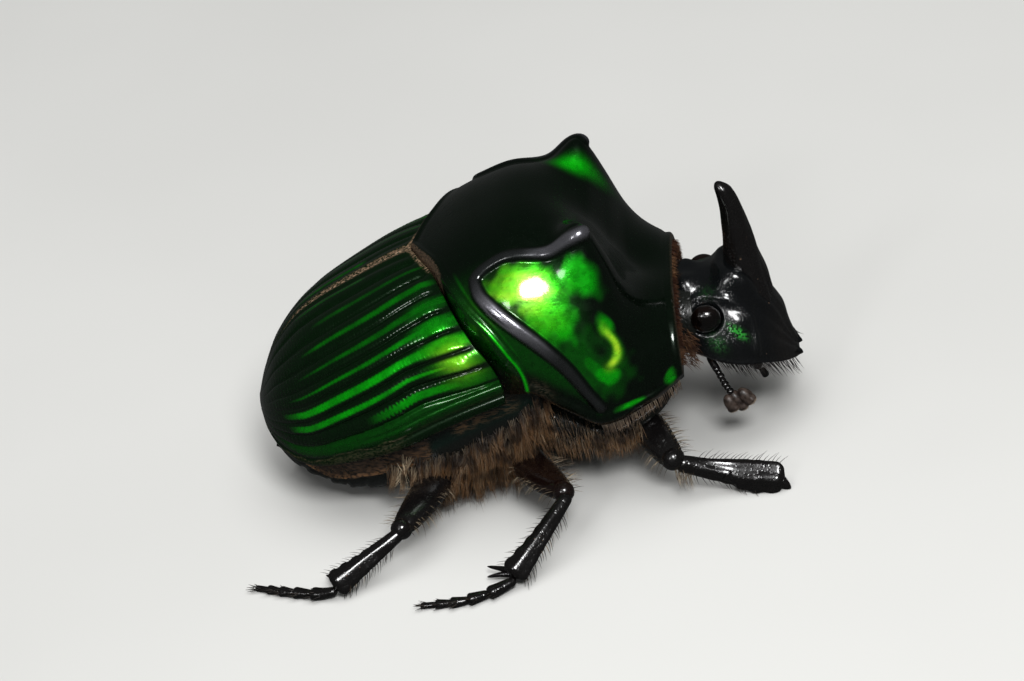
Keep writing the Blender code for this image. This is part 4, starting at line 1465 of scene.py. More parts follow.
@dataclass
class Head:
    """Head with its broad front plate, cheek ridges, eye sockets and front teeth."""

    width: Line = Line(((8.55, 2.2), (9.1, 2.6), (9.6, 3.1), (10.8, 3.5), (11.8, 3.6), (13.0, 3.2),
                        (14.0, 2.4), (14.7, 1.4), (14.95, 0.8)))
    margin: Line = Line(((8.55, 6.4), (10.4, 5.5), (11.4, 5.1), (13.0, 4.6), (14.0, 4.0), (14.95, 3.3)))
    crown: Line = Line(((8.55, 9.15), (9.1, 9.1), (9.8, 9.1), (11.4, 9.15), (12.4, 8.6), (13.6, 7.1),
                        (14.4, 5.4), (14.95, 3.9)))
    bottom: Line = Line(((8.55, 5.2), (10.4, 4.4), (11.8, 4.1), (13.4, 3.8), (14.95, 2.9)))
    start: float = 8.55
    end: float = 14.95
    power: float = 1.75
    rows: int = 150
    sides: int = 200
    brow: tuple[tuple[float, float], ...] = (
        (9.9, 53.0), (10.35, 55.7), (11.2, 52.7), (12.0, 49.7), (12.6, 44.2), (12.88, 32.8), (12.88, 11.0))
    brow_half: float = 0.2
    bulges: tuple[tuple[float, float, float, float], ...] = (
        (9.5, 70.0, 0.4, 0.62), (11.6, 66.0, 0.45, 0.8), (12.3, 66.0, 0.4, 0.8), (12.3, 39.0, 0.2, 0.6),
        (11.0, 12.0, 0.1, 0.9))
    tooth_root: Point = (14.4, 0.55, 3.55)
    tooth_tip: Point = (15.15, 0.6, 3.15)
    eye_place: Point = (10.35, 2.66, 7.5)
    eye_size: Point = (0.84, 0.62, 0.8)

    def plain(self, x: Array, angle: Array) -> Array:
        """Rings of the head."""
        across, up = arch(angle, self.power)
        margin = self.margin(x)
        reach = np.where(up > 0, self.crown(x) - margin, margin - self.bottom(x))
        return stack(x, across * self.width(x), margin + up * reach)

    def build(self) -> None:
        """Make the head and its eyes."""
        t = np.linspace(0, 1, self.rows)
        x = (self.start + (self.end - self.start) * np.sin(np.pi / 2 * t))[:, None]
        angle = (2 * np.pi * np.arange(self.sides) / self.sides)[None]
        x, angle = np.broadcast_arrays(x, angle)
        grid = self.plain(x, angle)
        outward = outwards(grid)
        rise = np.zeros(x.shape)
        for side in Side:
            crest = [tuple(self.plain(np.array(spot), np.radians(degrees))) for spot, degrees in self.brow]
            path, _ = resample(crest, 40)
            off, half = away(grid, side.of(path), np.full(40, self.brow_half))
            rise = np.maximum(rise, 0.8 * half * bell(off, 0, half))
            for place, degrees, height, spread in self.bulges:
                spot = side.of(self.plain(np.array(place), np.radians(degrees)))
                rise = rise + height * np.exp(-(((grid - spot) ** 2).sum(axis=-1)) / spread ** 2)
        upper = np.sin(angle) > 0
        foot = np.hypot((x - 12.75) / 1.35, grid[..., 1] / 1.35)
        rise = rise + 0.4 * bell(np.maximum(foot - 1.0, 0.0), 0, 0.3) * upper
        rim = 0.1 * bell(np.mod(angle + 0.5, np.pi), 0.5, 0.06) * ease(10.0, 11.0, x)
        lane = np.abs(grid[..., 1]) / np.maximum(self.width(x), 0.3)
        plate = ease(12.95, 13.15, x + 0.25 * lane) * upper
        grooves = 0.035 * np.cos(2 * np.pi * lane * 4.5) * plate * ease(0.12, 0.3, lane)
        grid = grid + outward * (rise + rim + grooves - 0.07 * plate * (lane > 0.2))[..., None]
        for side in Side:
            centre = side.of(self.eye_place)
            off = np.linalg.norm((grid - centre) / (np.array(self.eye_size) + 0.05), axis=-1)
            grid = grid - outward * (0.6 * (1 - ease(0.75, 1.15, off)))[..., None]
        shape = Shape()
        degrees = np.degrees(np.arcsin(np.clip(np.sin(angle), -1, 1)))
        # Green spots on the cheek and brow, placed where the shell gleams: partly its own green, partly
        # painted reflection.
        patch = 1.3 * bell(x, 11.95, 0.34) * bell(degrees, 28.5 - 6 * (x - 11.95), 3.0)
        dots = 0.12 * bell(x, 10.8, 0.4) * bell(degrees, 17, 7)
        brow = 0.04 * bell(x, 10.6, 0.4) * bell(degrees, 58, 5)
        shape.loft(grid, Green=np.clip(patch + dots + brow, 0, 1), Dust=0.03 * ease(13.2, 14.4, x))
        for side in Side:
            path, _ = resample([side.of(self.tooth_root), side.of(self.tooth_tip)], 14)
            half = np.linspace(0.42, 0.14, 14) * rounded(14, 0.1, 0.35)
            shape.loft(tube_rings(path, np.stack([half, half * 0.7], -1), (0, 0, 1), 16))
        shape.piece("head_plate", FACE, Slot.BLACK_SHELL, "head")
        for side in Side:
            eye = Shape(marks=())
            rings = ball_rings(side.of(self.eye_place), self.eye_size, 30, 48)
            eye.loft(rings)
            eye.piece(f"eye_ball_{side.word}", EYE, Slot.EYE, f"eye_{side.word}")


@dataclass
class Horn:
    """Horn of the head, a keeled blade that leans back at its tip."""

    back: Line = Line(((5.9, 11.3), (8.0, 11.5), (9.7, 11.72), (11.5, 11.9), (12.7, 11.98), (13.6, 11.92),
                       (14.4, 11.78)))
    front: Line = Line(((5.9, 14.2), (8.0, 14.0), (9.7, 13.7), (11.5, 13.42), (13.0, 13.12), (13.9, 12.8),
                        (14.4, 12.45)))
    half: Line = Line(((5.9, 2.1), (8.0, 1.5), (9.7, 1.05), (11.5, 0.78), (13.0, 0.6), (13.9, 0.48),
                       (14.4, 0.34)))
    root: float = 5.9
    tip: float = 14.4
    round_from: float = 13.85
    round_over: float = 0.56
    power: float = 1.85
    rows: int = 90
    sides: int = 48

    def build(self) -> None:
        """Make the horn."""
        z = np.linspace(self.root, self.tip, self.rows)[:, None]
        angle = (2 * np.pi * np.arange(self.sides) / self.sides)[None]
        across, along = arch(angle, self.power)
        past = ((z - self.round_from) / self.round_over).clip(0)
        close = np.sqrt(np.clip(1 - past ** 2, 0.0, 1.0)).clip(0.12)
        middle, reach = (self.back(z) + self.front(z)) / 2, (self.front(z) - self.back(z)) / 2
        dents = 1 + 0.02 * np.sin(5 * angle + 2.3 * z) + 0.045 * np.cos(14 * angle) * (1 - ease(8.0, 10.5, z))
        rings = stack(middle + along * reach * close * dents, across * self.half(z) * close * dents, z)
        shape = Shape()
        shape.loft(rings)
        shape.piece("head_horn", BLACK, Slot.BLACK_SHELL, "horn")


@dataclass
class Feeler:
    """One feeler: a bent stalk that ends in small beads, and a club of three cupped leaves."""

    side: Side
    path: tuple[Point, ...] = ((10.1, 2.6, 5.2), (10.6, 3.6, 4.5), (10.85, 3.9, 3.9), (11.15, 4.0, 3.3))
    beads: int = 12
    bead: float = 0.19
    club: Point = (11.42, 4.08, 2.98)
    opening: Point = (0.5, 0.1, -0.86)
    leaves: tuple[tuple[Point, Point], ...] = (
        ((0.45, 0.1, 0.22), (0.36, 0.34, 0.6)), ((-0.02, -0.06, -0.08), (0.34, 0.4, 0.7)),
        ((-0.45, 0.08, -0.12), (0.36, 0.34, 0.56)))

    def leaf(self, club: Shape, shift: Sequence[float], size: Sequence[float]) -> None:
        """Add a leaf, a rounded lobe whose mouth curls outwards.

        Args:
            club: The club.
            shift: How far its middle lies from the club's.
            size: Its half sizes, the last along the opening.
        """
        t = np.linspace(-1.0, 1.0, 26)[:, None]
        turn = 2 * np.pi * np.arange(28)[None] / 28
        swell = np.sqrt(np.clip(1 - t ** 2, 0.003, 1.0)) * (1 + 0.28 * ease(0.2, 0.8, t))
        scallop = 1 + 0.12 * np.cos(5 * turn) * ease(0.1, 0.9, t)
        hollow = 0.35 * np.maximum(np.cos(turn), 0.0) * ease(0.0, 0.8, t)
        along = unit(np.array(self.opening) + 0.35 * np.array(shift))
        wide = unit(np.cross(along, (0.0, 1.0, 0.0)))
        thick = np.cross(along, wide)
        across = (swell * np.cos(turn) * scallop * size[0])[..., None] * wide
        deep = (swell * (np.sin(turn) - hollow) * size[1])[..., None] * thick
        length = np.broadcast_to((t * size[2])[..., None], across.shape) * along
        centre = np.array(self.club) + np.array(shift)
        rim = np.broadcast_to(ease(0.25, 0.95, t), swell.shape[:1] + turn.shape[1:])
        club.loft(self.side.of(centre + across + deep + length), Rim=rim)

    def build(self) -> None:
        """Make the stalk and the club."""
        path, _ = resample(self.path, self.beads)
        stalk = Shape()
        scape, _ = resample(self.path[:2], 14)
        half = self.bead * 1.1 * rounded(14, 0.3, 0.3)
        stalk.loft(tube_rings(self.side.of(scape), np.stack([half, half], -1), (0, 0, 1), 14))
        for number, point in enumerate(path[3:]):
            size = self.bead * (1.0 + 0.14 * (number % 2))
            stalk.loft(ball_rings(self.side.of(point), (size, size, size * 0.8), 8, 14))
        stalk.piece(f"feeler_stalk_{self.side.word}", BLACK, Slot.FEELER)
        club = Shape(marks=("Rim",))
        for shift, size in self.leaves:
            self.leaf(club, shift, size)
        club.piece(f"feeler_club_{self.side.word}", LEAF, Slot.FEELER, f"antenna_{self.side.word}")


@dataclass
class Mouth:
    """Chin under the head, with a pair of jointed palps."""

    chin: Point = (11.3, 0.0, 4.1)
    chin_size: Point = (1.6, 1.5, 0.9)
    palp: tuple[Point, ...] = ((11.9, 0.7, 3.7), (12.7, 1.2, 3.0), (13.0, 1.35, 2.4))

    def build(self) -> None:
        """Make the mouth."""
        shape = Shape()
        shape.loft(ball_rings(self.chin, self.chin_size, 28, 48))
        for side in Side:
            path, _ = resample(self.palp, 7)
            for start, end, size in zip(path[::2], path[2::2], (0.27, 0.25, 0.22)):
                line, _ = resample([side.of(start), side.of(end)], 14)
                half = size * rounded(14, 0.4, 0.3) * np.linspace(0.8, 1.0, 14)
                shape.loft(tube_rings(line, np.stack([half, half], -1), (0, 1, 0), 16))
        shape.piece("mouth_parts", BLACK, Slot.BLACK_SHELL, "mouthparts")


@dataclass(frozen=True)
class LimbPart:
    """Sizes of one length of a leg: half width and half thickness at its joints, and its broad way."""

    sizes: tuple[tuple[float, float], ...]
    broad: Point


@dataclass
class Leg:
    """One leg: thigh, shin and foot, with its teeth, spurs and rows of bristles."""

    pair: Pair
    side: Side
    joints: tuple[tuple[Point, ...], ...]
    parts: tuple[LimbPart, ...]
    bristles: Strands
    setae: Strands
    spur_turns: tuple[float, ...] = ()
    spur_length: float = 1.65
    foot_bounds: tuple[float, ...] = (0.0, 0.3, 0.5, 0.67, 0.82, 1.0)
    tooth_shares: tuple[float, ...] = (0.45, 0.62, 0.79, 0.95)
    rings: int = 60
    sides: int = 28

    def frame(self, number: int, grow: float, count: int) -> tuple[Array, Array, Array]:
        """Path, sizes and broad way of one length.

        Args:
            number: Which length it is.
            grow: How far it runs on past its two end joints.
            count: Points along it.

        Returns:
            The path, the half sizes and the broad way.
        """
        joints = self.side.of(self.joints[number])
        first = unit(joints[0] - joints[1])
        last = unit(joints[-1] - joints[-2])
        joints = joints.copy()
        joints[0] += first * grow
        joints[-1] += last * grow
        path, shares = resample(joints, count)
        t = np.linspace(0, 1, count)
        sizes = np.array(self.parts[number].sizes)
        half = np.stack([Line(tuple(zip(shares, sizes[:, k])))(t) for k in range(2)], axis=-1)
        return path, half, self.side.of(self.parts[number].broad)

    def thigh(self) -> None:
        """Make the thigh, a flattened club with a keel along its front."""
        path, half, broad = self.frame(0, 0.2, self.rings)
        ends = rounded(self.rings, 0.12, 0.14)[:, None]

        def relief(share: Array, turn: Array) -> Array:
            """Keels along both edges."""
            return 1 + 0.05 * bell(np.sin(turn), 0, 0.25) - 0.03 * np.cos(4 * turn) * np.sin(np.pi * share)

        shape = Shape()
        rings = tube_rings(path, half * ends, broad, self.sides, 2.2, relief)
        shape.loft(rings)
        ball = np.full(3, 1.12 * half[-1].mean())
        shape.loft(ball_rings(path[-1] - unit(path[-1] - path[-8]) * 0.55 * ball[0], ball, 22, 28))
        finish = RED_BLACK if self.pair is Pair.MID else BLACK
        shape.piece(f"thigh_{self.pair.value}_{self.side.word}", finish, Slot.BLACK_SHELL, self.node("femur"))
        self.row(self.bristles, path, half, broad, 0.0, 10, (0.5, 0.95), 0.55, 0.35)
        self.row(self.setae, path, half, broad, 0.0, 34, (0.3, 0.92), 0.85, 0.5, 0.02, 0.5)
        self.row(self.setae, path, half, broad, np.pi, 30, (0.35, 0.95), 0.75, 0.2, 0.018, 0.5)

    def node(self, section: str) -> str:
        """Name of a solid of this leg."""
        return f"{self.pair.value}_{section}_{self.side.word}"

    def row(self, strands: Strands, path: Array, half: Array, broad: Array, turn: float, count: int,
            span: tuple[float, float], length: float, lean: float, width: float = 0.024,
            fan: float = 0.25) -> None:
        """Grow a row of bristles along one length.

        Args:
            strands: What the bristles are added to.
            path: Path of the length.
            half: Its half sizes.
            broad: Its broad way.
            turn: Angle round it.
            count: How many bristles there are.
            span: Shares of its length between which they stand.
            length: Their length.
            lean: How far they lean towards its end.
            width: Their half width.
            fan: How unevenly they stand.
        """
        random = strands.random
        share = np.linspace(*span, count) + random.uniform(-0.01, 0.01, count)
        place = np.clip(share, 0, 1) * (len(path) - 1)
        low = np.clip(place.astype(int), 0, len(path) - 2)
        part = (place - low)[:, None]
        tangent = unit(np.gradient(path, axis=0))[low]
        spot = path[low] * (1 - part) + path[low + 1] * part
        size = half[low] * (1 - part) + half[low + 1] * part
        wide = unit(broad - tangent * (tangent @ broad)[:, None])
        thick = np.cross(tangent, wide)
        angle = turn + random.uniform(-fan, fan, count)
        out = wide * np.cos(angle)[:, None] + thick * np.sin(angle)[:, None]
        root = spot + wide * (size[:, :1] * np.cos(angle)[:, None])
        root = root + thick * (size[:, 1:] * np.sin(angle)[:, None])
        way = unit(out + tangent * lean + random.normal(0, 0.12, (count, 3)))
        lengths = length * random.uniform(0.7, 1.15, count)
        room = np.where(way[:, 2] < -0.05, (root[:, 2] - 0.02) / np.maximum(-way[:, 2], 0.05), np.inf)
        lengths = np.minimum(lengths, np.maximum(room, 0.08))
        strands.grow(root - out * 0.05, way, lengths, tangent * 0.3, width, random.beta(1.6, 2.6, count))

    def shin(self) -> None:
        """Make the shin with its teeth or spurs."""
        path, half, broad = self.frame(1, 0.15, self.rings)
        ends = rounded(self.rings, 0.06, 0.07)[:, None]

        def relief(share: Array, turn: Array) -> Array:
            """Flutes and notches along the shin."""
            deep = 0.13 if self.pair is Pair.FORE else 0.07
            flutes = 1 - deep * np.cos(5 * turn + 0.4 * np.sin(9 * share)) * ease(0.1, 0.4, share)
            notch = 0.06 * np.sin(2 * np.pi * 7 * share) * bell(np.sin(turn), 0, 0.35)
            return flutes + notch * ease(0.3, 0.5, share)

        shape = Shape()
        power = 2.0 if self.pair is Pair.FORE else 2.3
        rings = tube_rings(path, half * ends, broad, self.sides, power, relief)
        rings[..., 2] = np.maximum(rings[..., 2], 0.0)
        shape.loft(rings)
        if self.pair is Pair.FORE:
            self.fore_teeth(shape, path)
        else:
            self.spurs(shape)
        name = f"shin_{self.pair.value}_{self.side.word}"
        shape.piece(name, BLACK, Slot.BLACK_SHELL, self.node("tibia"))
        self.row(self.bristles, path, half, broad, 0.0, 20, (0.2, 0.95), 0.6, 0.5)
        self.row(self.bristles, path, half, broad, np.pi, 16, (0.2, 0.95), 0.5, 0.5)
        if self.pair is Pair.FORE:
            self.row(self.setae, path, half, broad, np.pi, 40, (0.0, 0.16), 0.95, 0.1, 0.02, 0.9)
        else:
            self.row(self.setae, path, half, broad, 0.0, 12, (0.15, 0.9), 0.55, 0.6, 0.016, 0.8)

    def fore_teeth(self, shape: Shape, path: Array) -> None:
        """Add the digging teeth of a fore shin.

        Args:
            shape: The shin.
            path: Its path.
        """
        for share in self.tooth_shares:
            root = path[0] + (path[-1] - path[0]) * share + np.array((0, 0, -0.3))
            reach = np.array((0.5, self.side.value * 0.25, -0.45))
            line, _ = resample([root, root + reach * 0.6, root + reach], 16)
            size = np.linspace(0.42, 0.16, 16) * rounded(16, 0.1, 0.4)
            rings = tube_rings(line, np.stack([size, size * 0.8], -1), (0, 0, 1), 16)
            rings[..., 2] = np.maximum(rings[..., 2], 0.0)
            shape.loft(rings)

    def spurs(self, shape: Shape) -> None:
        """Add the spurs at the end of a hinder shin, on the inner side of the foot.

        Args:
            shape: The shin.
        """
        knee, end = np.array(self.joints[1][0]), np.array(self.joints[1][-1])
        foot = np.array(self.joints[2])
        heading = unit((foot[1] - foot[0])[:2])
        inward = np.array((-heading[1], heading[0]))
        root = end + unit(knee - end) * 0.4
        root = np.array((root[0] + inward[0] * 0.4, root[1] + inward[1] * 0.4, 0.3))
        for number, degrees in enumerate(self.spur_turns):
            turn = math.radians(degrees)
            way = heading * math.cos(turn) + inward * math.sin(turn)
            start = root + np.array((heading[0], heading[1], 1.0)) * 0.11 * number
            tip = start + np.array((way[0], way[1], 0.11 * number)) * self.spur_length
            middle = (start + tip) / 2 + (0, 0, 0.08)
            line, _ = resample([self.side.of(point) for point in (start, middle, tip)], 20)
            size = np.linspace(0.24, 0.06, 20) * rounded(20, 0.05, 0.2)
            shape.loft(tube_rings(line, np.stack([size, size], -1), (0, 0, 1), 14))

    def foot(self) -> None:
        """Make the foot of five flat segments that narrow to its end."""
        path, half, broad = self.frame(2, 0.05, 101)
        shape = Shape()
        bounds = self.foot_bounds
        for number, (start, end) in enumerate(zip(bounds, bounds[1:])):
            low, high = int(start * 100), min(100, int(end * 100) + 3)
            line = path[low:high + 1]
            pick = np.linspace(0, len(line) - 1, 18).astype(int)
            flare = np.linspace(0.66, 1.3, 18) if number < 4 else np.linspace(0.7, 0.9, 18)
            size = half[low:high + 1][pick] * (flare * rounded(18, 0.15, 0.2))[:, None]
            rings = tube_rings(resample(line[pick], 18)[0], size, broad, 16)
            rings[..., 2] = np.maximum(rings[..., 2], 0.0)
            shape.loft(rings)
        shape.piece(f"foot_{self.pair.value}_{self.side.word}", BLACK, Slot.BLACK_SHELL, self.node("tarsus"))
        for turn in (0.0, np.pi):
            for start, end in zip(bounds, bounds[1:]):
                span = (start + 0.6 * (end - start), end)
                self.row(self.bristles, path, half, broad, turn, 6, span, 0.42, 1.0, 0.04, 0.6)

    def build(self) -> None:
        """Make the whole leg."""
        self.thigh()
        self.shin()
        if len(self.joints) > 2:
            self.foot()


FORE_PARTS = (
    LimbPart(((0.8, 0.7), (0.95, 0.75), (0.62, 0.55)), (1.0, 0.0, 0.3)),
    LimbPart(((0.46, 0.42), (0.6, 0.42), (0.84, 0.45), (0.8, 0.4)), (0.28, -0.54, 0.8)))
FOOT_PART = LimbPart(((0.44, 0.34), (0.42, 0.32), (0.34, 0.28), (0.22, 0.2)), (0.0, 0.9, 0.45))
MID_PARTS = (
    LimbPart(((0.95, 0.65), (1.05, 0.65), (0.56, 0.5)), (1.0, 0.0, 0.0)),
    LimbPart(((0.36, 0.38), (0.5, 0.42), (0.76, 0.5)), (0.7, 0.3, -0.6)),
    FOOT_PART)
HIND_PARTS = (
    LimbPart(((0.9, 0.65), (1.0, 0.65), (0.56, 0.5)), (1.0, 0.0, 0.0)),
    LimbPart(((0.36, 0.38), (0.52, 0.42), (0.76, 0.5)), (0.5, 0.4, -0.75)),
    FOOT_PART)
LEG_PARTS = {Pair.FORE: FORE_PARTS, Pair.MID: MID_PARTS, Pair.HIND: HIND_PARTS}
SPUR_TURNS = {Pair.FORE: (), Pair.MID: (24.0, 46.0), Pair.HIND: (30.0,)}
LEG_JOINTS = {
    (Pair.FORE, Side.RIGHT): (
        ((5.4, 3.6, 3.4), (6.5, 6.0, 3.1), (7.7, 8.25, 2.4)),
        ((7.9, 8.2, 2.15), (10.15, 8.15, 1.3), (11.9, 8.45, 0.85), (13.3, 8.7, 0.65))),
    (Pair.FORE, Side.LEFT): (
        ((5.4, 3.6, 3.4), (6.4, 6.0, 3.1), (7.3, 8.25, 2.4)),
        ((7.45, 8.3, 2.15), (9.5, 8.9, 1.3), (11.0, 9.5, 0.85), (12.3, 10.0, 0.65))),
    (Pair.MID, Side.RIGHT): (
        ((-1.2, 4.4, 2.3), (0.2, 7.7, 2.6), (1.8, 10.7, 3.0)),
        ((1.9, 10.95, 2.9), (0.26, 12.9, 1.8), (-1.35, 14.4, 0.75)),
        ((-1.27, 14.55, 0.5), (-2.9, 15.15, 0.25), (-4.3, 15.45, 0.22), (-6.45, 15.25, 0.15))),
    (Pair.MID, Side.LEFT): (
        ((-1.2, 4.4, 2.3), (0.1, 7.7, 2.6), (1.5, 10.7, 3.0)),
        ((1.6, 10.95, 2.9), (0.0, 12.9, 1.8), (-1.6, 14.4, 0.75)),
        ((-1.52, 14.55, 0.5), (-3.1, 15.15, 0.25), (-4.5, 15.45, 0.22), (-6.5, 15.2, 0.15))),
    (Pair.HIND, Side.RIGHT): (
        ((-4.6, 4.4, 2.0), (-5.9, 8.0, 2.3), (-7.3, 10.9, 2.2)),
        ((-7.4, 11.05, 2.1), (-9.2, 12.1, 1.4), (-11.05, 13.1, 0.75)),
        ((-11.05, 13.25, 0.5), (-12.1, 12.95, 0.25), (-13.4, 12.5, 0.22), (-15.6, 11.45, 0.15))),
    (Pair.HIND, Side.LEFT): (
        ((-4.6, 4.4, 2.0), (-5.8, 7.7, 2.3), (-7.0, 10.3, 2.2)),
        ((-7.1, 10.45, 2.1), (-8.8, 11.3, 1.4), (-10.4, 12.0, 0.75)),
        ((-10.4, 12.15, 0.5), (-11.4, 11.95, 0.25), (-12.5, 11.6, 0.22), (-14.2, 10.6, 0.15))),
}


@dataclass
class Coat:
    """Hair of the flanks and the edges: brown gold strands in tufts that hang and overlap."""

    body: Underbody
    rows: int = 8
    tufts: int = 46
    strands: int = 12
    first: float = -7.6
    last: float = 1.3
    length: float = 2.1
    row_gap: float = 0.33
    tuft_wide: float = 0.13
    start: Line = Line(((-7.6, 1.55), (-6.2, 1.5), (-5.3, 2.0), (-3.0, 2.3), (-1.0, 2.1), (0.2, 1.4),
                        (1.3, 1.0)))

    def flank(self, x: Array, z: Array) -> Array:
        """Half width of the flank at a height."""
        edge = self.body.trunk(x, 0.0 * x)
        down = np.clip((edge[..., 2] - z) / (edge[..., 2] - self.body.belly(x)), 0.0, 0.85)
        power = self.body.belly_power
        return edge[..., 1] * (1 - down ** power) ** (1 / power)

    def build(self) -> None:
        """Grow the flank hair of both sides."""
        for number, side in enumerate(Side):
            hair = Strands(f"flank_hair_{side.word}", FUR, 40 + number, sides=3, knots=6)
            random = hair.random
            count = self.rows * self.tufts
            row = np.repeat(np.arange(self.rows), self.tufts)
            x = np.tile(np.linspace(self.first, self.last, self.tufts), self.rows)
            x = x + random.normal(0, 0.1, count)
            edge = self.body.trunk(x, 0.0 * x)[..., 2]
            z = edge - self.start(x) - row * self.row_gap + random.normal(0, 0.1, count)
            keep = (z > self.body.belly(x) + 0.7) & ((x > -6.4) | (row < 2))
            x, z, row = x[keep], z[keep], row[keep]
            roots = stack(x, self.flank(x, z), z)
            shorter = 1 - 0.3 * (x < -6.2) - 0.35 * ease(-0.5, 1.3, x)
            lengths = self.length * random.uniform(0.6, 1.1, len(x)) * shorter
            lengths = np.minimum(lengths, (z - 0.5) * 1.3)
            white = bell(x, -6.9, 0.4) * (random.uniform(0, 1, len(x)) < 0.7)
            tone = 0.35 * random.beta(1.0, 4.0, len(x)) + 0.9 * white
            tips = random.normal(0, 0.3, (len(x), 3)) * (1.0, 0.5, 0.4)
            spread = 0.16 * (x + 3.0) / 4.0
            for _ in range(self.strands):
                shift = random.normal(0, self.tuft_wide, (len(x), 3)) * (1.0, 0.2, 1.0)
                start = roots + shift
                way = unit(stack(spread - 0.1, 0.62, -0.72) + tips * 0.6 - shift * 0.9)
                bend = stack(0.1 * spread, -0.22, -0.22) + random.normal(0, 0.07, (len(x), 3))
                spots = np.stack([(start[:, 0] + 15) / 26, start[:, 2] / 16], axis=-1)
                shade = np.clip(tone + random.normal(0, 0.06, len(x)), 0, 1)
                long = lengths * random.uniform(0.6, 1.1, len(x))
                hair.grow(side.of(start), side.of(way), long, side.of(bend), 0.022, shade, spots)
            hair.build()


@dataclass
class EdgeHair:
    """Fringes along the edges of the head and the shield."""

    shield: Shield
    head: Head
    body: Underbody
    breast_count: int = 800
    shield_count: int = 120
    collar_count: int = 1500
    neck_count: int = 220
    head_count: int = 90

    def breast(self) -> None:
        """Brown hair on the sides of the chest, above the fore legs."""
        hair = Strands("breast_hair", FUR, 74, sides=3)
        random = hair.random
        count = self.breast_count
        for side in Side:
            roots = self.body.chest(random.uniform(1.5, 6.2, count), -random.uniform(-0.6, 1.0, count))
            way = unit(np.array((0.1, 0.7, -0.7)) + random.normal(0, 0.2, (count, 3)))
            hair.grow(side.of(roots), side.of(way), random.uniform(0.5, 1.2, count),
                      side.of((0.0, -0.2, -0.3)), 0.022, 0.4 * random.beta(1.0, 3.0, count))
        hair.build()

    def under_shield(self) -> None:
        """Row of short pale bristles under the side edge of the shield."""
        hair = Strands("shield_edge_bristles", PALE_BRISTLE, 71, sides=4)
        random = hair.random
        count = self.shield_count
        for side in Side:
            x = np.linspace(4.2, 8.6, count) + 0.035 * np.sin(np.arange(count) * 2.1)
            x = x + random.normal(0, 0.01, count)
            y = self.shield.width(x) * 0.985
            z = self.shield.margin(x) - 0.25
            way = unit(np.array((0.2, 0.5, -0.8)) + random.normal(0, 0.07, (count, 3)))
            hair.grow(side.of(stack(x, y, z)), side.of(way), random.uniform(0.42, 0.58, count),
                      side.of((0.0, -0.1, -0.2)), 0.025, 0.4 * random.beta(1.2, 4.0, count))
        hair.build()

    def collar(self) -> None:
        """Reddish hair in the gap between shield and head."""
        hair = Strands("collar_hair", RED_HAIR, 72, sides=3)
        random = hair.random
        count = self.collar_count
        angle = random.uniform(0.03, 0.97, count) * np.pi
        across, up = arch(angle, self.shield.power)
        x = np.full(count, self.shield.front - 0.08)
        margin = self.shield.margin(x)
        deep = random.uniform(0.0, 0.35, count)
        y = across * (self.shield.width(x) * 0.96 - deep)
        z = margin + up * ((self.shield.crown(x) - margin) * 0.96 - deep) - 0.12
        way = unit(stack(0.8, -0.5 * across, -0.6 * up) + random.normal(0, 0.22, (count, 3)))
        clumps = np.clip(np.sin(5 * angle) - 0.3, 0, 1) * random.uniform(0, 1, count)
        hair.grow(stack(x, y, z), way, random.uniform(0.25, 0.5, count), np.array((0, 0, -0.15)), 0.024,
                  0.8 * clumps + 0.2 * random.beta(1.0, 4.0, count))
        count = self.neck_count
        for side in Side:
            spot = random.normal(0, 1, (count, 3)) * (0.2, 0.2, 0.5) + (9.15, 3.1, 6.2)
            way = unit(np.array((0.75, 0.5, -0.3)) + random.normal(0, 0.3, (count, 3)))
            hair.grow(side.of(spot), side.of(way), random.uniform(0.3, 0.65, count), (0.0, 0.0, -0.2), 0.02,
                      0.7 * random.beta(1.2, 2.5, count))
        hair.build()

    def under_head(self) -> None:
        """Black bristles under the edge of the head."""
        hair = Strands("head_edge_bristles", BLACK_BRISTLE, 73, sides=4)
        random = hair.random
        count = self.head_count
        for side in Side:
            x = np.linspace(10.6, 14.7, count) + random.normal(0, 0.02, count)
            y = self.head.width(x) * 0.98
            z = self.head.margin(x) - 0.1
            way = unit(np.array((0.45, 0.4, -0.8)) + random.normal(0, 0.12, (count, 3)))
            hair.grow(side.of(stack(x, y, z)), side.of(way), random.uniform(0.35, 0.95, count),
                      side.of((0.1, 0.0, -0.1)), 0.026)
        hair.build()

    def build(self) -> None:
        """Grow every fringe."""
        self.breast()
        self.under_shield()
        self.collar()
        self.under_head()


@dataclass(frozen=True)
class SoftLight:
    """A soft light of the studio, aimed at the beetle."""

    name: str
    place: Point
    size: tuple[float, float]
    power: float
    colour: Point = (1.0, 1.0, 1.0)
    aim: Point = (0.0, 0.0, 0.007)
    gleams: bool = True

    def build(self) -> None:
        """Hang the light."""
        lamp = bpy.data.lights.new(self.name, "AREA")
        lamp.shape = "ELLIPSE"
        lamp.size, lamp.size_y = self.size
        lamp.energy = self.power
        lamp.color = self.colour
        holder = put(self.name, lamp)
        holder.location = self.place
        holder.visible_glossy = self.gleams
        way = Vector(self.aim) - Vector(self.place)
        holder.rotation_euler = way.to_track_quat("-Z", "Y").to_euler()


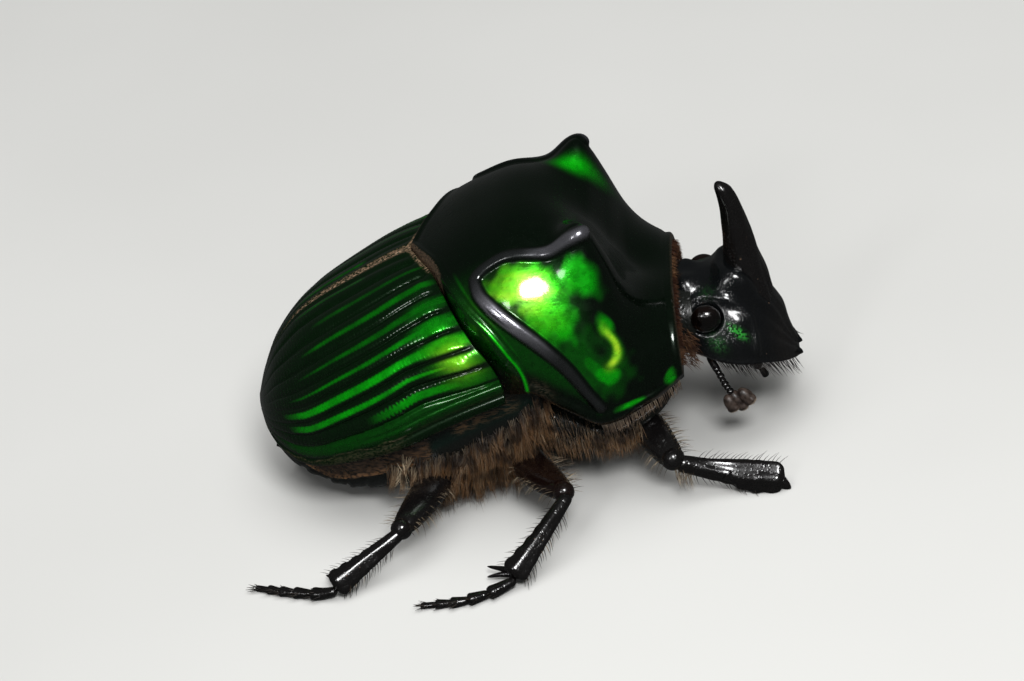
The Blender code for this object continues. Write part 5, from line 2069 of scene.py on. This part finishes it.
@dataclass
class Studio:
    """Pale floor, soft lights and the camera."""

    azimuth: float = 7.0
    elevation: float = 32.0
    roll: float = 12.0
    pixels_to_mm: float = 18.18
    distance: float = 265.0
    target: Point = (0.0, 0.0, 7.0)
    target_pixel: tuple[float, float] = (520.1, 327.8)
    image: tuple[int, int] = (1024, 681)
    sensor: float = 36.0
    floor_size: float = 3.0
    surround: Point = (0.85, 0.88, 0.86)
    surround_light: float = 0.05
    lights: tuple[SoftLight, ...] = (
        SoftLight("Key", (0.07, -0.195, 0.23), (0.1, 0.09), 0.65),
        SoftLight("Ceiling", (0.0, 0.0, 0.4), (0.5, 0.5), 1.45, gleams=False),
        SoftLight("Side", (-0.107, -0.23, 0.178), (0.06, 0.06), 0.1),
    )

    def floor(self) -> None:
        """Lay the floor."""
        mesh = bpy.data.meshes.new("floor")
        half = self.floor_size / 2
        corners = [(-half, -half, 0), (half, -half, 0), (half, half, 0), (-half, half, 0)]
        mesh.from_pydata(corners, [], [(0, 1, 2, 3)])
        mesh.materials.append(FLOOR_FINISH.material())
        floor = put("floor", mesh)
        floor.visible_glossy = False

    def camera(self) -> None:
        """Set the camera where the photograph was taken from."""
        turns = (self.azimuth, self.elevation, self.roll)
        azimuth, elevation, roll = (math.radians(turn) for turn in turns)
        flat = math.cos(elevation)
        look = Vector((-math.sin(azimuth) * flat, math.cos(azimuth) * flat, -math.sin(elevation)))
        right = Vector((math.cos(azimuth), math.sin(azimuth), 0.0))
        up = right.cross(look)
        side = right * math.cos(roll) - up * math.sin(roll)
        above = right * math.sin(roll) + up * math.cos(roll)
        across = (self.target_pixel[0] - self.image[0] / 2) / self.pixels_to_mm
        down = -(self.target_pixel[1] - self.image[1] / 2) / self.pixels_to_mm
        centre = Vector(self.target) - side * across - above * down
        place = (centre - look * self.distance - Vector(MIDDLE)) * MM
        lens = bpy.data.cameras.new("Camera")
        lens.sensor_width = self.sensor
        lens.lens = self.pixels_to_mm * self.distance * self.sensor / self.image[0]
        lens.clip_start = 0.01
        camera = put("Camera", lens)
        turn = Matrix((side, above, -look)).transposed().to_4x4()
        camera.matrix_world = Matrix.Translation(place) @ turn
        bpy.context.scene.camera = camera

    def world(self) -> None:
        """Soft grey surroundings."""
        world = bpy.data.worlds.new("Studio")
        world.use_nodes = True
        back = world.node_tree.nodes["Background"]
        back.inputs["Color"].default_value = (*self.surround, 1.0)
        back.inputs["Strength"].default_value = self.surround_light
        bpy.context.scene.world = world

    def build(self) -> None:
        """Set the studio up."""
        self.floor()
        self.camera()
        self.world()
        for light in self.lights:
            light.build()
        bpy.context.scene.view_settings.view_transform = "Standard"
        log.info("Studio with %d lights", len(self.lights))


def main() -> None:
    """Build the beetle and its studio."""
    logging.basicConfig(level=logging.INFO, format="%(message)s")
    back = Back()
    shield = Shield()
    body = Underbody(back, shield)
    head = Head()
    shield.build()
    for side in Side:
        WingCase(side, back, shield).build()
        Feeler(side).build()
    body.build()
    head.build()
    Horn().build()
    Mouth().build()
    bristles = Strands("leg_bristles", BLACK_BRISTLE, 11, sides=4, knots=5)
    setae = Strands("leg_setae", PALE_BRISTLE, 12, sides=3)
    for (pair, side), joints in LEG_JOINTS.items():
        Leg(pair, side, joints, LEG_PARTS[pair], bristles, setae, SPUR_TURNS[pair]).build()
    bristles.build()
    setae.build()
    Coat(body).build()
    EdgeHair(shield, head, body).build()
    Studio().build()


if __name__ == "__main__":
    main()
